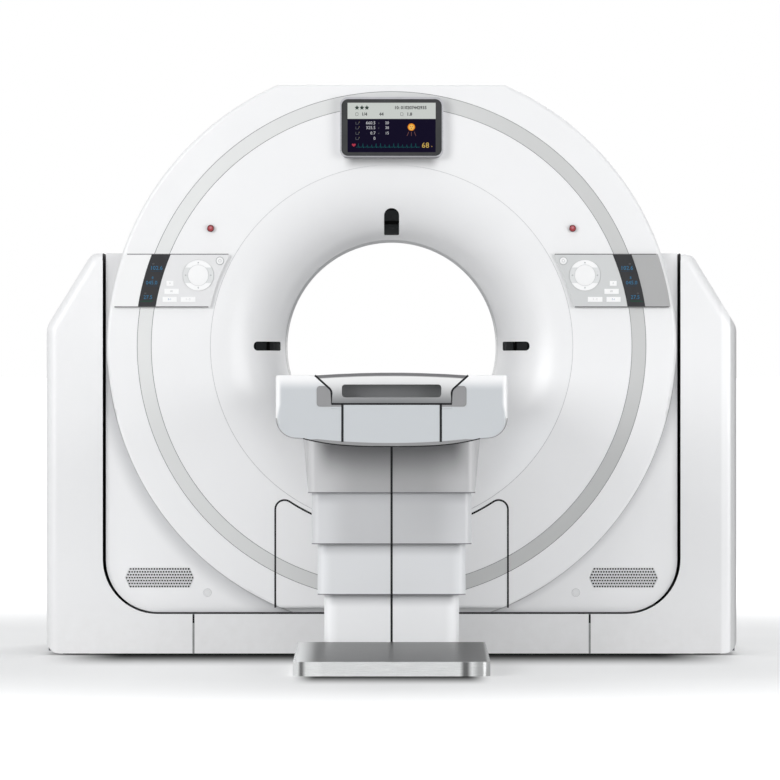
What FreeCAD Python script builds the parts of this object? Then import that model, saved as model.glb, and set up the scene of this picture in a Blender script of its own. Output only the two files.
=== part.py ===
import FreeCAD, Part
import math
import os

# CT scanner: a tilting gantry in a U-shaped stand, and a patient table on a telescopic column.
# Millimetres. +X is right seen from the table, +Y runs from the table into the bore, +Z is up.
# The origin is on the floor, straight under the centre of the bore.

# Fits and walls
FIT = 0.3
SEAM = 1.0
SHELL = 6.0

# Bore and funnels
BORE_RADIUS = 360.0
FUNNEL_INSET = 347.0
FLARE_DEPTH = 280.0
FLARE_LIP_PULL = 0.6
FLARE_THROAT_PULL = 0.55
FUNNEL_WALL = 5.0
WINDOW_WIDTH = 60.0
WINDOW_WALL = 3.0

# Tilting body: a disc with a flat top and foot, on a box with round lower corners
DISC_RADIUS = 953.0
DISC_FLAT_TOP = 79.0
DISC_FLAT_FOOT = 77.0
DISC_RISE = 40.0
DISC_EDGE = 12.0
DISC_STEP = 15.0
DOME_STEP = 3.0
RIM_SEAT = 60.0
BODY_MARGIN = 4.0
BODY_HALF_DEPTH = 440.0
BODY_BOTTOM = 144.0
BODY_CORNER = 174.0
SHOULDER_RISE = 311.0

# Trim ring and lower hatch on the front disc
TRIM_INSET = 103.0
TRIM_WIDTH = 46.0
TRIM_DEPTH = 3.0
HATCH_HALF_WIDTH = 388.0
HATCH_CLEAR = 17.0
HATCH_CORNER = 30.0
HATCH_SEAM = 2.0
HATCH_LIP = 14.0
HATCH_LIP_DEPTH = 4.0

# Laser windows in the front funnel
LASER_START = 15.0
LASER_LENGTH = 87.0
LASER_TOP_WIDTH = 50.0
LASER_SIDE_HEIGHT = 30.0
LASER_TIP = 13.0
LASER_CORNER = 4.0

# Display
DISPLAY_WIDTH = 345.0
DISPLAY_HEIGHT = 204.0
DISPLAY_DROP = 145.0
DISPLAY_DEPTH = 36.0
DISPLAY_CORNER = 27.0
DISPLAY_RIM = 5.0
DISPLAY_RIM_HEIGHT = 7.0
GLASS_DEPTH = 4.0

# Control panels, readouts, keys and stop buttons
PANEL_EDGE = 12.0
PANEL_CLEAR = 14.0
PANEL_DROP = 3.0
PANEL_HEIGHT = 179.4
PANEL_DEPTH = 14.0
PANEL_CORNER = 6.0
READOUT_OVER = 8.0
READOUT_UNDER = 5.0
READOUT_DEPTH = 4.0
KEY_DEPTH = 8.0
KEY_RISE = 2.0
KEY_TRAVEL = 1.5
KEY_SPARE = 0.5
PAD_ALONG = 26.0
PAD_DOWN = 71.8
PAD_RADIUS = 52.0
CENTRE_KEY_RADIUS = 34.0
ROUND_KEY_ALONG = -46.3
ROUND_KEY_DOWN = 23.6
ROUND_KEY_RADIUS = 11.5
FLAT_KEY_RISE = 1.0
FLAT_KEYS_ALONG = ((109.0, 132.0), (91.0, 139.0), (98.0, 145.0), (35.5, 84.5))
FLAT_KEYS_DOWN = ((90.5, 107.0), (117.0, 134.0), (144.0, 160.5), (144.0, 160.5))
STOP_ALONG = -15.0
STOP_UP = 82.0
STOP_RADIUS = 12.0
STOP_RISE = 12.0
STOP_TRAVEL = 4.0
STOP_STEM = 10.0

# Vents in the lower corners of the front shell
VENT_INSET = 180.0
VENT_UP = 115.0
VENT_HALF_WIDTH = 114.0
VENT_FLAT_HALF = 100.0
VENT_HALF_HEIGHT = 33.0

# U-shaped stand
PILLAR_GAP = 10.0
PILLAR_WIDTH = 189.0
PILLAR_SLOPE_RUN = 151.0
PILLAR_SLOPE_DROP = 246.0
PILLAR_TOP_CORNER = 40.0
PILLAR_SIDE_CORNER = 60.0
PILLAR_FOOT_CORNER = 45.0
PILLAR_NOSE = 36.0
STAND_PROUD = 20.0
SKIRT_GAP = 6.0
SKIRT_SEAM_INSET = 294.0
SKIRT_LIP = 12.0
FACE_WALL = 8.0
FLOOR_GAP = 6.0
CORNER_COVER_DEPTH = 160.0
FOOT_HEIGHT = 14.0
FOOT_RADIUS = 45.0
FOOT_STUD = 10.0
FOOT_STUD_RISE = 14.0
FOOT_Y = 350.0
RAIL_PLATE = 12.0
RAIL_WALL = 8.0
RAIL_TOP = 84.0
BEAM_WIDTH = 100.0
ANCHOR_Y = 260.0
ANCHOR_HOLE = 9.0
ANCHOR_BOSS = 30.0
TILT_STAND_INSET = 33.0
TILT_STAND_THICK = 60.0
TILT_STAND_FOOT = 210.0
TILT_STAND_HEAD = 120.0
TILT_STAND_WINDOW = 60.0
TILT_STAND_NECK = 180.0
TILT_STAND_CORNER = 20.0
BEARING_RADIUS = 80.0
PIN_RADIUS = 50.0
PIN_END = 10.0
PIN_HOLE = 62.0
TILT_MOTOR_RADIUS = 70.0
TILT_MOTOR_SPARE = 15.0

# Frame and drive inside the tilting body
FRAME_START = 160.0
FRAME_THICK = 40.0
FRAME_INSET = 14.0
TRUNNION_HALF = 90.0
TRUNNION_FRONT = -60.0
TRUNNION_REACH = 97.0
RACE_CLEAR = 180.0
RACE_WIDTH = 50.0
FRAME_HOLE_MARGIN = 20.0
DRUM_INSET = 133.0
DRUM_CLEAR = 70.0
DRUM_START = 70.0
DRUM_THICK = 30.0
DRUM_RIM = 14.0
DRUM_RIM_DEPTH = 190.0
SLIP_RING_WIDTH = 60.0
SLIP_RING_END = 250.0
BRUSH_WIDTH = 120.0
BRUSH_HEIGHT = 100.0
BRUSH_DEPTH = 45.0
PULLEY_RADIUS = 60.0
PULLEY_INSET = 157.0
PULLEY_UP = 186.0
SHAFT_RADIUS = 15.0
BELT_THICK = 6.0
BELT_MARGIN = 3.0
MOTOR_RADIUS = 75.0
MOTOR_LENGTH = 180.0
TUBE_RADIUS = 105.0
TUBE_INSET = 180.0
TUBE_LENGTH = 240.0
TUBE_CAP_SHARE = 0.6
COLLIMATOR_WIDTH = 200.0
COLLIMATOR_CLEAR = 5.0
COLLIMATOR_DEPTH = 130.0
DETECTOR_CLEAR = 110.0
DETECTOR_WIDTH = 100.0
DETECTOR_DEPTH = 150.0
DETECTOR_ANGLE = 56.0
GENERATOR_WIDTH = 300.0
GENERATOR_CLEAR = 40.0
GENERATOR_INSET = 90.0
GENERATOR_DEPTH = 220.0
GENERATOR_ANGLE = 100.0
COOLER_ANGLE = -100.0
COOLER_FIN_PITCH = 24.0

# Patient table
TABLE_DROP = 97.0
TABLE_LENGTH = 2140.0
TABLE_CLEAR = 180.0
TABLE_HALF_WIDTH = 343.0
TABLE_SIDE_HEIGHT = 182.0
TABLE_KEEL_HEIGHT = 210.0
TABLE_CORNER = 60.0
TABLE_TOP_CORNER = 6.0
TABLE_PLAN_CORNER = 14.0
TABLE_WALL = 5.0
TABLE_SHELF_DROP = 12.0
END_WALL = 6.0
END_PANEL_CORNER = 900.0
PANEL_HALF_WIDTH = 146.0
CRADLE_TOP_HALF = 225.0
CRADLE_WAIST_HALF = 176.0
CRADLE_WAIST_DROP = 43.0
CRADLE_HEIGHT = 83.0
CRADLE_CROWN = 8.0
CRADLE_CORNER = 20.0
CRADLE_GAP = 3.0
CRADLE_SKIN = 12.0
CRADLE_SIDE = 26.0
CRADLE_END = 80.0
HANDLE_HALF_WIDTH = 147.0
HANDLE_DROP = 27.0
HANDLE_HEIGHT = 38.0
HANDLE_CORNER = 10.0
HANDLE_DEPTH = 55.0
EAR_HALF_WIDTH = 222.0
EAR_DROP = 31.0
EAR_HEIGHT = 62.0
EAR_CORNER = 10.0
EAR_DEPTH = 3.0
FRAME_DROP = 194.0
FRAME_WALL = 8.0
SLIDE_RAIL_HEIGHT = 4.0
SLIDE_RAIL_WIDTH = 22.0

# Telescopic column, with the stages' heights measured from the top of the foot
COLUMN_CLEAR = 515.0
STAGE_HALF_WIDTHS = (218.0, 239.0, 258.0, 270.0)
STAGE_HALF_DEPTHS = (185.0, 206.0, 225.0, 237.0)
STAGE_STARTS = (0.0, 153.0, 317.0, 482.0)
STAGE_ENDS = (202.0, 354.0, 504.0)
STAGE_CORNER = 25.0
STAGE_WALL = 5.0
STAGE_LIP = 8.0
STAGE_FLARE = 16.0
STAGE_SEAM_WIDTH = 5.0
STAGE_SEAM_DEPTH = 2.5

# Foot of the table
PLATE_LENGTH = 1103.0
PLATE_BEHIND = 235.0
PLATE_FRONT_HALF = 308.5
PLATE_REAR_HALF = 298.0
PLATE_TOP = 76.0
PLATE_FRONT_HEIGHT = 44.0
PLATE_CORNER = 30.0
PLATE_WALL = 8.0
PLATE_BOLT_X = 150.0
PLATE_BOLT_Y = 120.0
PLATE_BOLT_RADIUS = 7.0
PLATE_BOSS_RADIUS = 22.0
LIFT_MOTOR_RADIUS = 55.0
LIFT_MOTOR_HEIGHT = 120.0
SPINDLE_RADIUS = 16.0
BRIDGE_HALF_WIDTH = 110.0
BRIDGE_HEIGHT = 45.0
BRIDGE_SLOPE = 30.0
BRIDGE_CORNER = 8.0

V = FreeCAD.Vector
ALONG_X = V(1, 0, 0)
ALONG_Y = V(0, 1, 0)
ALONG_Z = V(0, 0, 1)
TOUCHING = 1e-6

# Places on the tilting body, worked out from the sizes above
BODY_HALF_WIDTH = DISC_RADIUS + BODY_MARGIN
DISC_BOTTOM = BODY_BOTTOM + DISC_STEP
ISO_HEIGHT = DISC_BOTTOM + DISC_RADIUS - DISC_FLAT_FOOT
DISC_TOP = ISO_HEIGHT + DISC_RADIUS - DISC_FLAT_TOP
FUNNEL_RADIUS = DISC_RADIUS - FUNNEL_INSET
SHOULDER_TOP = ISO_HEIGHT + SHOULDER_RISE
FACE_Y = -(BODY_HALF_DEPTH + DISC_RISE)
TRIM_OUTER = DISC_RADIUS - TRIM_INSET
TRIM_INNER = TRIM_OUTER - TRIM_WIDTH
HATCH_ARC = FUNNEL_RADIUS + HATCH_CLEAR
LASER_NEAR = BORE_RADIUS + LASER_START
LASER_FAR = LASER_NEAR + LASER_LENGTH
DISPLAY_CENTRE = DISC_TOP - DISPLAY_DROP
PANEL_OUTER = DISC_RADIUS - PANEL_EDGE
PANEL_INNER = FUNNEL_RADIUS + PANEL_CLEAR
PANEL_TOP = SHOULDER_TOP - PANEL_DROP
PANEL_BOTTOM = PANEL_TOP - PANEL_HEIGHT
PANEL_FACE = FACE_Y - PANEL_DEPTH
READOUT_OUTER = TRIM_OUTER + READOUT_OVER
READOUT_INNER = TRIM_INNER - READOUT_UNDER
PAD_CENTRE_X = PANEL_INNER + PAD_ALONG
PAD_CENTRE_Z = PANEL_TOP - PAD_DOWN
ROUND_KEY_X = PANEL_INNER + ROUND_KEY_ALONG
ROUND_KEY_Z = PANEL_TOP - ROUND_KEY_DOWN
STOP_X = PANEL_INNER + STOP_ALONG
STOP_Z = SHOULDER_TOP + STOP_UP
VENT_X = BODY_HALF_WIDTH - VENT_INSET
VENT_Z = BODY_BOTTOM + VENT_UP

# Places on the stand
PILLAR_INNER = BODY_HALF_WIDTH + PILLAR_GAP
PILLAR_OUTER = PILLAR_INNER + PILLAR_WIDTH
STAND_FRONT = -(BODY_HALF_DEPTH + STAND_PROUD)
SKIRT_TOP = BODY_BOTTOM - SKIRT_GAP
SKIRT_SEAM_X = BODY_HALF_WIDTH - SKIRT_SEAM_INSET
RAIL_INNER = PILLAR_INNER + SHELL + FIT
RAIL_OUTER = PILLAR_OUTER - SHELL - FIT
RAIL_MIDDLE = (RAIL_INNER + RAIL_OUTER) / 2
RAIL_END = -STAND_FRONT - PILLAR_NOSE - FIT
RAIL_FLOOR = FOOT_HEIGHT + RAIL_PLATE
BEAM_Y = (-BODY_HALF_DEPTH, -BODY_HALF_DEPTH + BEAM_WIDTH)
STAND_X = PILLAR_INNER + TILT_STAND_INSET
STAND_END = STAND_X + TILT_STAND_THICK

# Places on the frame and the rotor
FRAME_END = FRAME_START + FRAME_THICK
TRUNNION_INNER = BODY_HALF_WIDTH - TRUNNION_REACH
RACE_INNER = BORE_RADIUS + RACE_CLEAR
RACE_SPLIT = RACE_INNER + RACE_WIDTH
RACE_OUTER = RACE_SPLIT + RACE_WIDTH
FRAME_HOLE = RACE_INNER + FRAME_HOLE_MARGIN
SLIP_RING_INNER = RACE_INNER - SLIP_RING_WIDTH
DRUM_RADIUS = DISC_RADIUS - DRUM_INSET
DRUM_HOLE = BORE_RADIUS + DRUM_CLEAR
DRUM_END = DRUM_START + DRUM_THICK
PULLEY_X = BODY_HALF_WIDTH - PULLEY_INSET
PULLEY_Z = BODY_BOTTOM + PULLEY_UP
TUBE_CENTRE = DRUM_RADIUS - TUBE_INSET
COLLIMATOR_NEAR = DRUM_HOLE + COLLIMATOR_CLEAR
DETECTOR_INNER = DRUM_HOLE + DETECTOR_CLEAR
DETECTOR_OUTER = DETECTOR_INNER + DETECTOR_WIDTH
GENERATOR_NEAR = DRUM_HOLE + GENERATOR_CLEAR
GENERATOR_FAR = DRUM_RADIUS - GENERATOR_INSET

# Places on the table
TABLE_FAR = STAND_FRONT - TABLE_CLEAR
TABLE_NEAR = TABLE_FAR - TABLE_LENGTH
TABLE_TOP = ISO_HEIGHT - TABLE_DROP
TABLE_SIDE_BOTTOM = TABLE_TOP - TABLE_SIDE_HEIGHT
TABLE_KEEL = TABLE_TOP - TABLE_KEEL_HEIGHT
CRADLE_WAIST = TABLE_TOP - CRADLE_WAIST_DROP
CRADLE_BOTTOM = TABLE_TOP - CRADLE_HEIGHT
CRADLE_REST = CRADLE_BOTTOM - SLIDE_RAIL_HEIGHT
HANDLE_TOP = TABLE_TOP - HANDLE_DROP
HANDLE_BOTTOM = HANDLE_TOP - HANDLE_HEIGHT
EAR_TOP = TABLE_TOP - EAR_DROP
EAR_BOTTOM = EAR_TOP - EAR_HEIGHT
FRAME_BOTTOM = TABLE_TOP - FRAME_DROP
COLUMN_Y = STAND_FRONT - COLUMN_CLEAR
STAGE_BOTTOMS = [PLATE_TOP + start for start in STAGE_STARTS]
STAGE_TOPS = [PLATE_TOP + end for end in STAGE_ENDS] + [FRAME_BOTTOM]
PLATE_REAR = COLUMN_Y + PLATE_BEHIND
PLATE_FRONT = PLATE_REAR - PLATE_LENGTH


def box(x, y, z):
    """A block between two places on each axis."""
    return Part.makeBox(x[1] - x[0], y[1] - y[0], z[1] - z[0], V(x[0], y[0], z[0]))


def rod(radius, start, length, direction):
    """A round bar from start along a direction."""
    return Part.makeCylinder(radius, length, start, direction)


def bore_cylinder(radius, y):
    """A cylinder on the axis of the bore."""
    return rod(radius, V(0, y[0], ISO_HEIGHT), y[1] - y[0], ALONG_Y)


def ring(outer, inner, y):
    """A ring on the axis of the bore."""
    return bore_cylinder(outer, y).cut(bore_cylinder(inner, (y[0] - SEAM, y[1] + SEAM)))


def mirrored(shape):
    """The shape's copy on the other side of the middle plane."""
    return shape.mirror(V(0, 0, 0), ALONG_X)


def turned_back(shape):
    """The shape's copy behind the bore's middle."""
    return shape.mirror(V(0, 0, 0), ALONG_Y)


def both_sides(shape):
    """The shape and its mirror image, as two solids."""
    return Part.makeCompound([shape, mirrored(shape)])


def at_angle(shape, degrees):
    """A shape drawn above the bore, swung round the axis of the bore."""
    swung = shape.copy()
    swung.rotate(V(0, 0, ISO_HEIGHT), ALONG_Y, degrees)
    return swung


def corner_arc(before, here, after, radius):
    """Where a rounded corner starts, passes and ends."""
    back = (before - here).normalize()
    onward = (after - here).normalize()
    half = back.getAngle(onward) / 2
    reach = radius / math.tan(half)
    inward = (back + onward).normalize()
    centre = here + inward * (radius / math.sin(half))
    return here + back * reach, centre - inward * radius, here + onward * reach


def rounded_face(corners, place):
    """A flat face with round corners: each corner is (u, v, radius), and place makes u, v a point."""
    points = [V(u, v, 0) for u, v, radius in corners]
    arcs = []
    for index, (u, v, radius) in enumerate(corners):
        here = points[index]
        after = points[(index + 1) % len(points)]
        if radius > 0:
            arcs.append(corner_arc(points[index - 1], here, after, radius))
        else:
            arcs.append((here, here, here))
    edges = []
    for index, (start, middle, end) in enumerate(arcs):
        last = arcs[index - 1][2]
        if (start - last).Length > TOUCHING:
            edges.append(Part.LineSegment(place(last), place(start)).toShape())
        if (end - start).Length > TOUCHING:
            edges.append(Part.Arc(place(start), place(middle), place(end)).toShape())
    return Part.Face(Part.Wire(edges))


def slab_y(corners, y):
    """An outline of (x, z, radius) corners, extruded along Y."""
    face = rounded_face(corners, lambda p: V(p.x, y[0], p.y))
    return face.extrude(V(0, y[1] - y[0], 0))


def slab_x(corners, x):
    """An outline of (y, z, radius) corners, extruded along X."""
    face = rounded_face(corners, lambda p: V(x[0], p.x, p.y))
    return face.extrude(V(x[1] - x[0], 0, 0))


def slab_z(corners, z):
    """An outline of (x, y, radius) corners, extruded along Z."""
    face = rounded_face(corners, lambda p: V(p.x, p.y, z[0]))
    return face.extrude(V(0, 0, z[1] - z[0]))


def rectangle(u, v, radius):
    """The four corners of a rounded rectangle."""
    return [(u[0], v[0], radius), (u[1], v[0], radius), (u[1], v[1], radius), (u[0], v[1], radius)]


def inset(corners, wall):
    """A counter-clockwise outline drawn in by a wall, with its radii to match."""
    drawn = []
    for index, (u, v, radius) in enumerate(corners):
        before = corners[index - 1]
        after = corners[(index + 1) % len(corners)]
        into = V(u - before[0], v - before[1], 0).normalize()
        out = V(after[0] - u, after[1] - v, 0).normalize()
        normal_in = V(-into.y, into.x, 0)
        normal_out = V(-out.y, out.x, 0)
        move = (normal_in + normal_out) * (wall / (1 + normal_in.dot(normal_out)))
        turns_left = into.cross(out).z > 0
        change = -wall if turns_left else wall
        fitted = max(radius + change, 0) if radius > 0 else 0
        drawn.append((u + move.x, v + move.y, fitted))
    return drawn


def edges_along(shape, direction):
    """The straight edges of a shape that run along a direction."""
    straight = [edge for edge in shape.Edges if isinstance(edge.Curve, Part.Line)]
    return [edge for edge in straight if abs(edge.Curve.Direction.dot(direction)) > 0.999]


def one_solid(shape):
    """The shape with its split faces joined again."""
    return shape.removeSplitter()


# ---------------------------------------------------------------- stand

def base_frame():
    """Two channel rails under the pillars and two cross beams, welded, with a boss round each anchor."""
    rail = box((RAIL_INNER, RAIL_OUTER), (-RAIL_END, RAIL_END), (FOOT_HEIGHT, RAIL_TOP))
    hollow_x = (RAIL_INNER + RAIL_WALL, RAIL_OUTER - RAIL_WALL)
    rail = rail.cut(box(hollow_x, (-RAIL_END - SEAM, RAIL_END + SEAM), (RAIL_FLOOR, RAIL_TOP + SEAM)))
    for y in (-FOOT_Y, FOOT_Y):
        rail = rail.cut(rod(FOOT_STUD + FIT, V(RAIL_MIDDLE, y, 0), RAIL_TOP, ALONG_Z))
    for y in (-ANCHOR_Y, ANCHOR_Y):
        rail = rail.fuse(rod(ANCHOR_BOSS, V(RAIL_MIDDLE, y, 0), RAIL_FLOOR, ALONG_Z))
        rail = rail.cut(rod(ANCHOR_HOLE, V(RAIL_MIDDLE, y, -SEAM), RAIL_TOP, ALONG_Z))
    across = (-RAIL_INNER, RAIL_INNER)
    beam = box(across, BEAM_Y, (FOOT_HEIGHT, RAIL_TOP))
    inside_y = (BEAM_Y[0] + RAIL_WALL, BEAM_Y[1] - RAIL_WALL)
    beam = beam.cut(box(across, inside_y, (FOOT_HEIGHT + RAIL_WALL, RAIL_TOP - RAIL_WALL)))
    frame = rail.fuse([mirrored(rail), beam, turned_back(beam)])
    return one_solid(frame)


def levelling_feet():
    """Four levelling feet, each a pad with a stud through the rail."""
    feet = []
    for x in (-RAIL_MIDDLE, RAIL_MIDDLE):
        for y in (-FOOT_Y, FOOT_Y):
            pad = rod(FOOT_RADIUS, V(x, y, 0), FOOT_HEIGHT, ALONG_Z)
            stud = rod(FOOT_STUD, V(x, y, 0), RAIL_FLOOR + FOOT_STUD_RISE, ALONG_Z)
            feet.append(one_solid(pad.fuse(stud)))
    return Part.makeCompound(feet)


def tilt_stands():
    """The upright that holds the tilt bearing, inside each pillar."""
    head = TILT_STAND_HEAD
    corners = [(-TILT_STAND_FOOT, RAIL_FLOOR, 0), (TILT_STAND_FOOT, RAIL_FLOOR, 0),
               (head, ISO_HEIGHT + head, head / 2), (-head, ISO_HEIGHT + head, head / 2)]
    upright = slab_x(corners, (STAND_X, STAND_END))
    low = RAIL_FLOOR + head
    high = ISO_HEIGHT - TILT_STAND_NECK
    corner = TILT_STAND_CORNER
    window = [(-TILT_STAND_WINDOW * 2, low, corner), (TILT_STAND_WINDOW * 2, low, corner),
              (TILT_STAND_WINDOW, high, corner), (-TILT_STAND_WINDOW, high, corner)]
    upright = upright.cut(slab_x(window, (STAND_X - SEAM, STAND_END + SEAM)))
    hole_start = V(STAND_X - SEAM, 0, ISO_HEIGHT)
    upright = upright.cut(rod(BEARING_RADIUS, hole_start, TILT_STAND_THICK + 2 * SEAM, ALONG_X))
    return both_sides(upright)


def tilt_bearings():
    """The two bearings that the tilt pins turn in."""
    start = V(STAND_X, 0, ISO_HEIGHT)
    bearing = rod(BEARING_RADIUS, start, TILT_STAND_THICK, ALONG_X)
    bearing = bearing.cut(rod(PIN_RADIUS, start, TILT_STAND_THICK, ALONG_X))
    return both_sides(bearing)


def tilt_motor():
    """The geared motor that turns the right tilt pin, bolted to the upright."""
    start = STAND_END + PIN_END + FIT
    length = RAIL_OUTER - TILT_MOTOR_SPARE - start
    body = rod(TILT_MOTOR_RADIUS, V(start, 0, ISO_HEIGHT), length, ALONG_X)
    flange_radius = BEARING_RADIUS + TILT_MOTOR_SPARE
    flange = rod(flange_radius, V(STAND_END, 0, ISO_HEIGHT), start - STAND_END + FIT, ALONG_X)
    hole_start = V(STAND_END - SEAM, 0, ISO_HEIGHT)
    flange = flange.cut(rod(PIN_RADIUS + FIT, hole_start, PIN_END + FIT + SEAM, ALONG_X))
    return one_solid(body.fuse(flange))


def pillar_corners(floor):
    """The outline of the right pillar, counter-clockwise, down to a floor height."""
    return [(PILLAR_INNER, floor, 0), (PILLAR_OUTER, floor, 0),
            (PILLAR_OUTER, SHOULDER_TOP - PILLAR_SLOPE_DROP, PILLAR_SIDE_CORNER),
            (PILLAR_OUTER - PILLAR_SLOPE_RUN, SHOULDER_TOP, PILLAR_TOP_CORNER),
            (PILLAR_INNER, SHOULDER_TOP, 0)]


def pillar_trim(y):
    """What is left of a pillar above the floor, with its foot corner rounded."""
    corners = [(PILLAR_INNER - SEAM, FLOOR_GAP, 0), (PILLAR_OUTER, FLOOR_GAP, PILLAR_FOOT_CORNER),
               (PILLAR_OUTER, SHOULDER_TOP + SEAM, 0), (PILLAR_INNER - SEAM, SHOULDER_TOP + SEAM, 0)]
    return slab_y(corners, y)


def nosed(corners, y, radius):
    """An extruded outline with a round nose along its outer front edge."""
    block = slab_y(corners, y)
    inner_x = corners[0][0]
    floor = corners[0][1]
    chain = []
    for edge in block.Edges:
        centre = edge.CenterOfMass
        on_front = abs(centre.y - y[0]) < TOUCHING
        if on_front and centre.x > inner_x + SEAM and centre.z > floor + SEAM:
            chain.append(edge)
    return block.makeFillet(radius, chain)


def corner_cover():
    """The front right cover: the pillar's face and returns, and the arm under the body's corner.

    A notch in its inner return goes over the cross beam.
    """
    below = FLOOR_GAP - PILLAR_FOOT_CORNER * 2
    corners = pillar_corners(below)
    depth = (STAND_FRONT, STAND_FRONT + CORNER_COVER_DEPTH)
    outside = nosed(corners, depth, PILLAR_NOSE)
    hollow_y = (STAND_FRONT + FACE_WALL, depth[1] + SEAM)
    hollow = nosed(inset(corners, SHELL), hollow_y, PILLAR_NOSE - FACE_WALL)
    cover = outside.cut(hollow).common(pillar_trim(depth))
    notch_y = (BEAM_Y[0] - FIT, BEAM_Y[1] + FIT)
    cover = cover.cut(box((PILLAR_INNER - SEAM, RAIL_INNER), notch_y, (0, RAIL_TOP + FIT)))
    corner = BODY_CORNER + PILLAR_GAP
    arm = [(SKIRT_SEAM_X, FLOOR_GAP, 0), (PILLAR_INNER + SHELL, FLOOR_GAP, 0),
           (PILLAR_INNER + SHELL, SKIRT_TOP + corner * 2, 0), (PILLAR_INNER, SKIRT_TOP + corner * 2, 0),
           (PILLAR_INNER, SKIRT_TOP, corner), (SKIRT_SEAM_X, SKIRT_TOP, 0)]
    cover = cover.fuse(slab_y(arm, (STAND_FRONT, STAND_FRONT + FACE_WALL)))
    lip_x = (SKIRT_SEAM_X, PILLAR_INNER - corner)
    lip_y = (STAND_FRONT, STAND_FRONT + FACE_WALL + SKIRT_LIP)
    cover = cover.fuse(box(lip_x, lip_y, (SKIRT_TOP - SHELL, SKIRT_TOP)))
    return one_solid(cover)


def front_corner_covers():
    """The front covers of both pillars."""
    return both_sides(corner_cover())


def rear_corner_covers():
    """The rear covers of both pillars."""
    return both_sides(turned_back(corner_cover()))


def side_covers():
    """The side cover of each pillar, between its corner covers, with a hole for the tilt pin."""
    reach = -STAND_FRONT - CORNER_COVER_DEPTH - FIT
    depth = (-reach, reach)
    corners = pillar_corners(FLOOR_GAP - PILLAR_FOOT_CORNER * 2)
    cover = slab_y(corners, depth).cut(slab_y(inset(corners, SHELL), (-reach - SEAM, reach + SEAM)))
    cover = cover.common(pillar_trim(depth))
    cover = cover.cut(rod(PIN_HOLE, V(PILLAR_INNER - SEAM, 0, ISO_HEIGHT), SHELL + 2 * SEAM, ALONG_X))
    return both_sides(cover)


def skirt():
    """The front skirt under the body, with a lip along its top and ribs to the cross beam."""
    half = SKIRT_SEAM_X - SEAM
    plate = box((-half, half), (STAND_FRONT, STAND_FRONT + FACE_WALL), (FLOOR_GAP, SKIRT_TOP))
    lip_y = (STAND_FRONT, STAND_FRONT + FACE_WALL + SKIRT_LIP)
    shape = plate.fuse(box((-half, half), lip_y, (SKIRT_TOP - SHELL, SKIRT_TOP)))
    for x in (-half / 2, half / 2):
        rib_y = (STAND_FRONT, -BODY_HALF_DEPTH - FIT)
        shape = shape.fuse(box((x - SHELL, x + SHELL), rib_y, (FLOOR_GAP + FOOT_HEIGHT, RAIL_TOP)))
    return one_solid(shape)


def front_skirt():
    """The skirt in front."""
    return skirt()


def rear_skirt():
    """The skirt behind."""
    return turned_back(skirt())


# ---------------------------------------------------------------- tilting body

def disc_block(radius, bottom, top, y):
    """A cylinder on the bore's axis, cut flat below and above."""
    return bore_cylinder(radius, y).common(box((-radius, radius), y, (bottom, top)))


def body_block(y, wall):
    """The tilting body's outline, a box with round lower corners under a dome, drawn in by a wall."""
    half = BODY_HALF_WIDTH - wall
    low = BODY_BOTTOM + wall
    high = SHOULDER_TOP - wall
    corner = BODY_CORNER - wall
    lower = slab_y([(-half, low, corner), (half, low, corner), (half, high, 0), (-half, high, 0)], y)
    dome = disc_block(DISC_RADIUS - DOME_STEP - wall, low, DISC_TOP - DOME_STEP - wall, y)
    return lower.fuse(dome)


def gantry_frame():
    """The welded plate that carries the main bearing, with a block for each tilt pin."""
    frame = body_block((FRAME_START, FRAME_END), FRAME_INSET)
    blocks_x = (TRUNNION_INNER, BODY_HALF_WIDTH - SHELL - FIT)
    blocks_z = (ISO_HEIGHT - TRUNNION_HALF, ISO_HEIGHT + TRUNNION_HALF)
    block = box(blocks_x, (TRUNNION_FRONT, FRAME_START + SEAM), blocks_z)
    frame = frame.fuse([block, mirrored(block)])
    frame = frame.cut(bore_cylinder(FRAME_HOLE, (FRAME_START - SEAM, FRAME_END + SEAM)))
    hole_start = V(PULLEY_X, FRAME_START - SEAM, PULLEY_Z)
    shaft_hole = rod(SHAFT_RADIUS + FIT, hole_start, FRAME_THICK + 2 * SEAM, ALONG_Y)
    return one_solid(frame.cut(shaft_hole))


def tilt_pins():
    """The two pins that the body tilts on."""
    start = BODY_HALF_WIDTH - SHELL - FIT
    pin = rod(PIN_RADIUS - FIT, V(start, 0, ISO_HEIGHT), STAND_END + PIN_END - start, ALONG_X)
    return both_sides(pin)


def vent_corners(spare):
    """The six corners of the left vent, grown by a spare."""
    half = VENT_HALF_WIDTH + spare
    flat = VENT_FLAT_HALF + spare / 2
    low = VENT_Z - VENT_HALF_HEIGHT - spare
    high = VENT_Z + VENT_HALF_HEIGHT + spare
    return [(-VENT_X - half, VENT_Z, 0), (-VENT_X - flat, low, 0), (-VENT_X + flat, low, 0),
            (-VENT_X + half, VENT_Z, 0), (-VENT_X + flat, high, 0), (-VENT_X - flat, high, 0)]


def half_shell():
    """The front half of the body's wrap, with its shoulder plate and a hole for each tilt pin."""
    outside = body_block((-BODY_HALF_DEPTH, -FIT / 2), 0)
    inside = body_block((-BODY_HALF_DEPTH + SHELL, SEAM), SHELL)
    shell = outside.cut(inside)
    seat = (-BODY_HALF_DEPTH - SEAM, -BODY_HALF_DEPTH + SHELL + SEAM)
    shell = shell.cut(disc_block(DISC_RADIUS - RIM_SEAT, DISC_BOTTOM + RIM_SEAT, DISC_TOP - RIM_SEAT, seat))
    return shell.cut(rod(PIN_RADIUS, V(-PILLAR_OUTER, 0, ISO_HEIGHT), PILLAR_OUTER * 2, ALONG_X))


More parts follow.
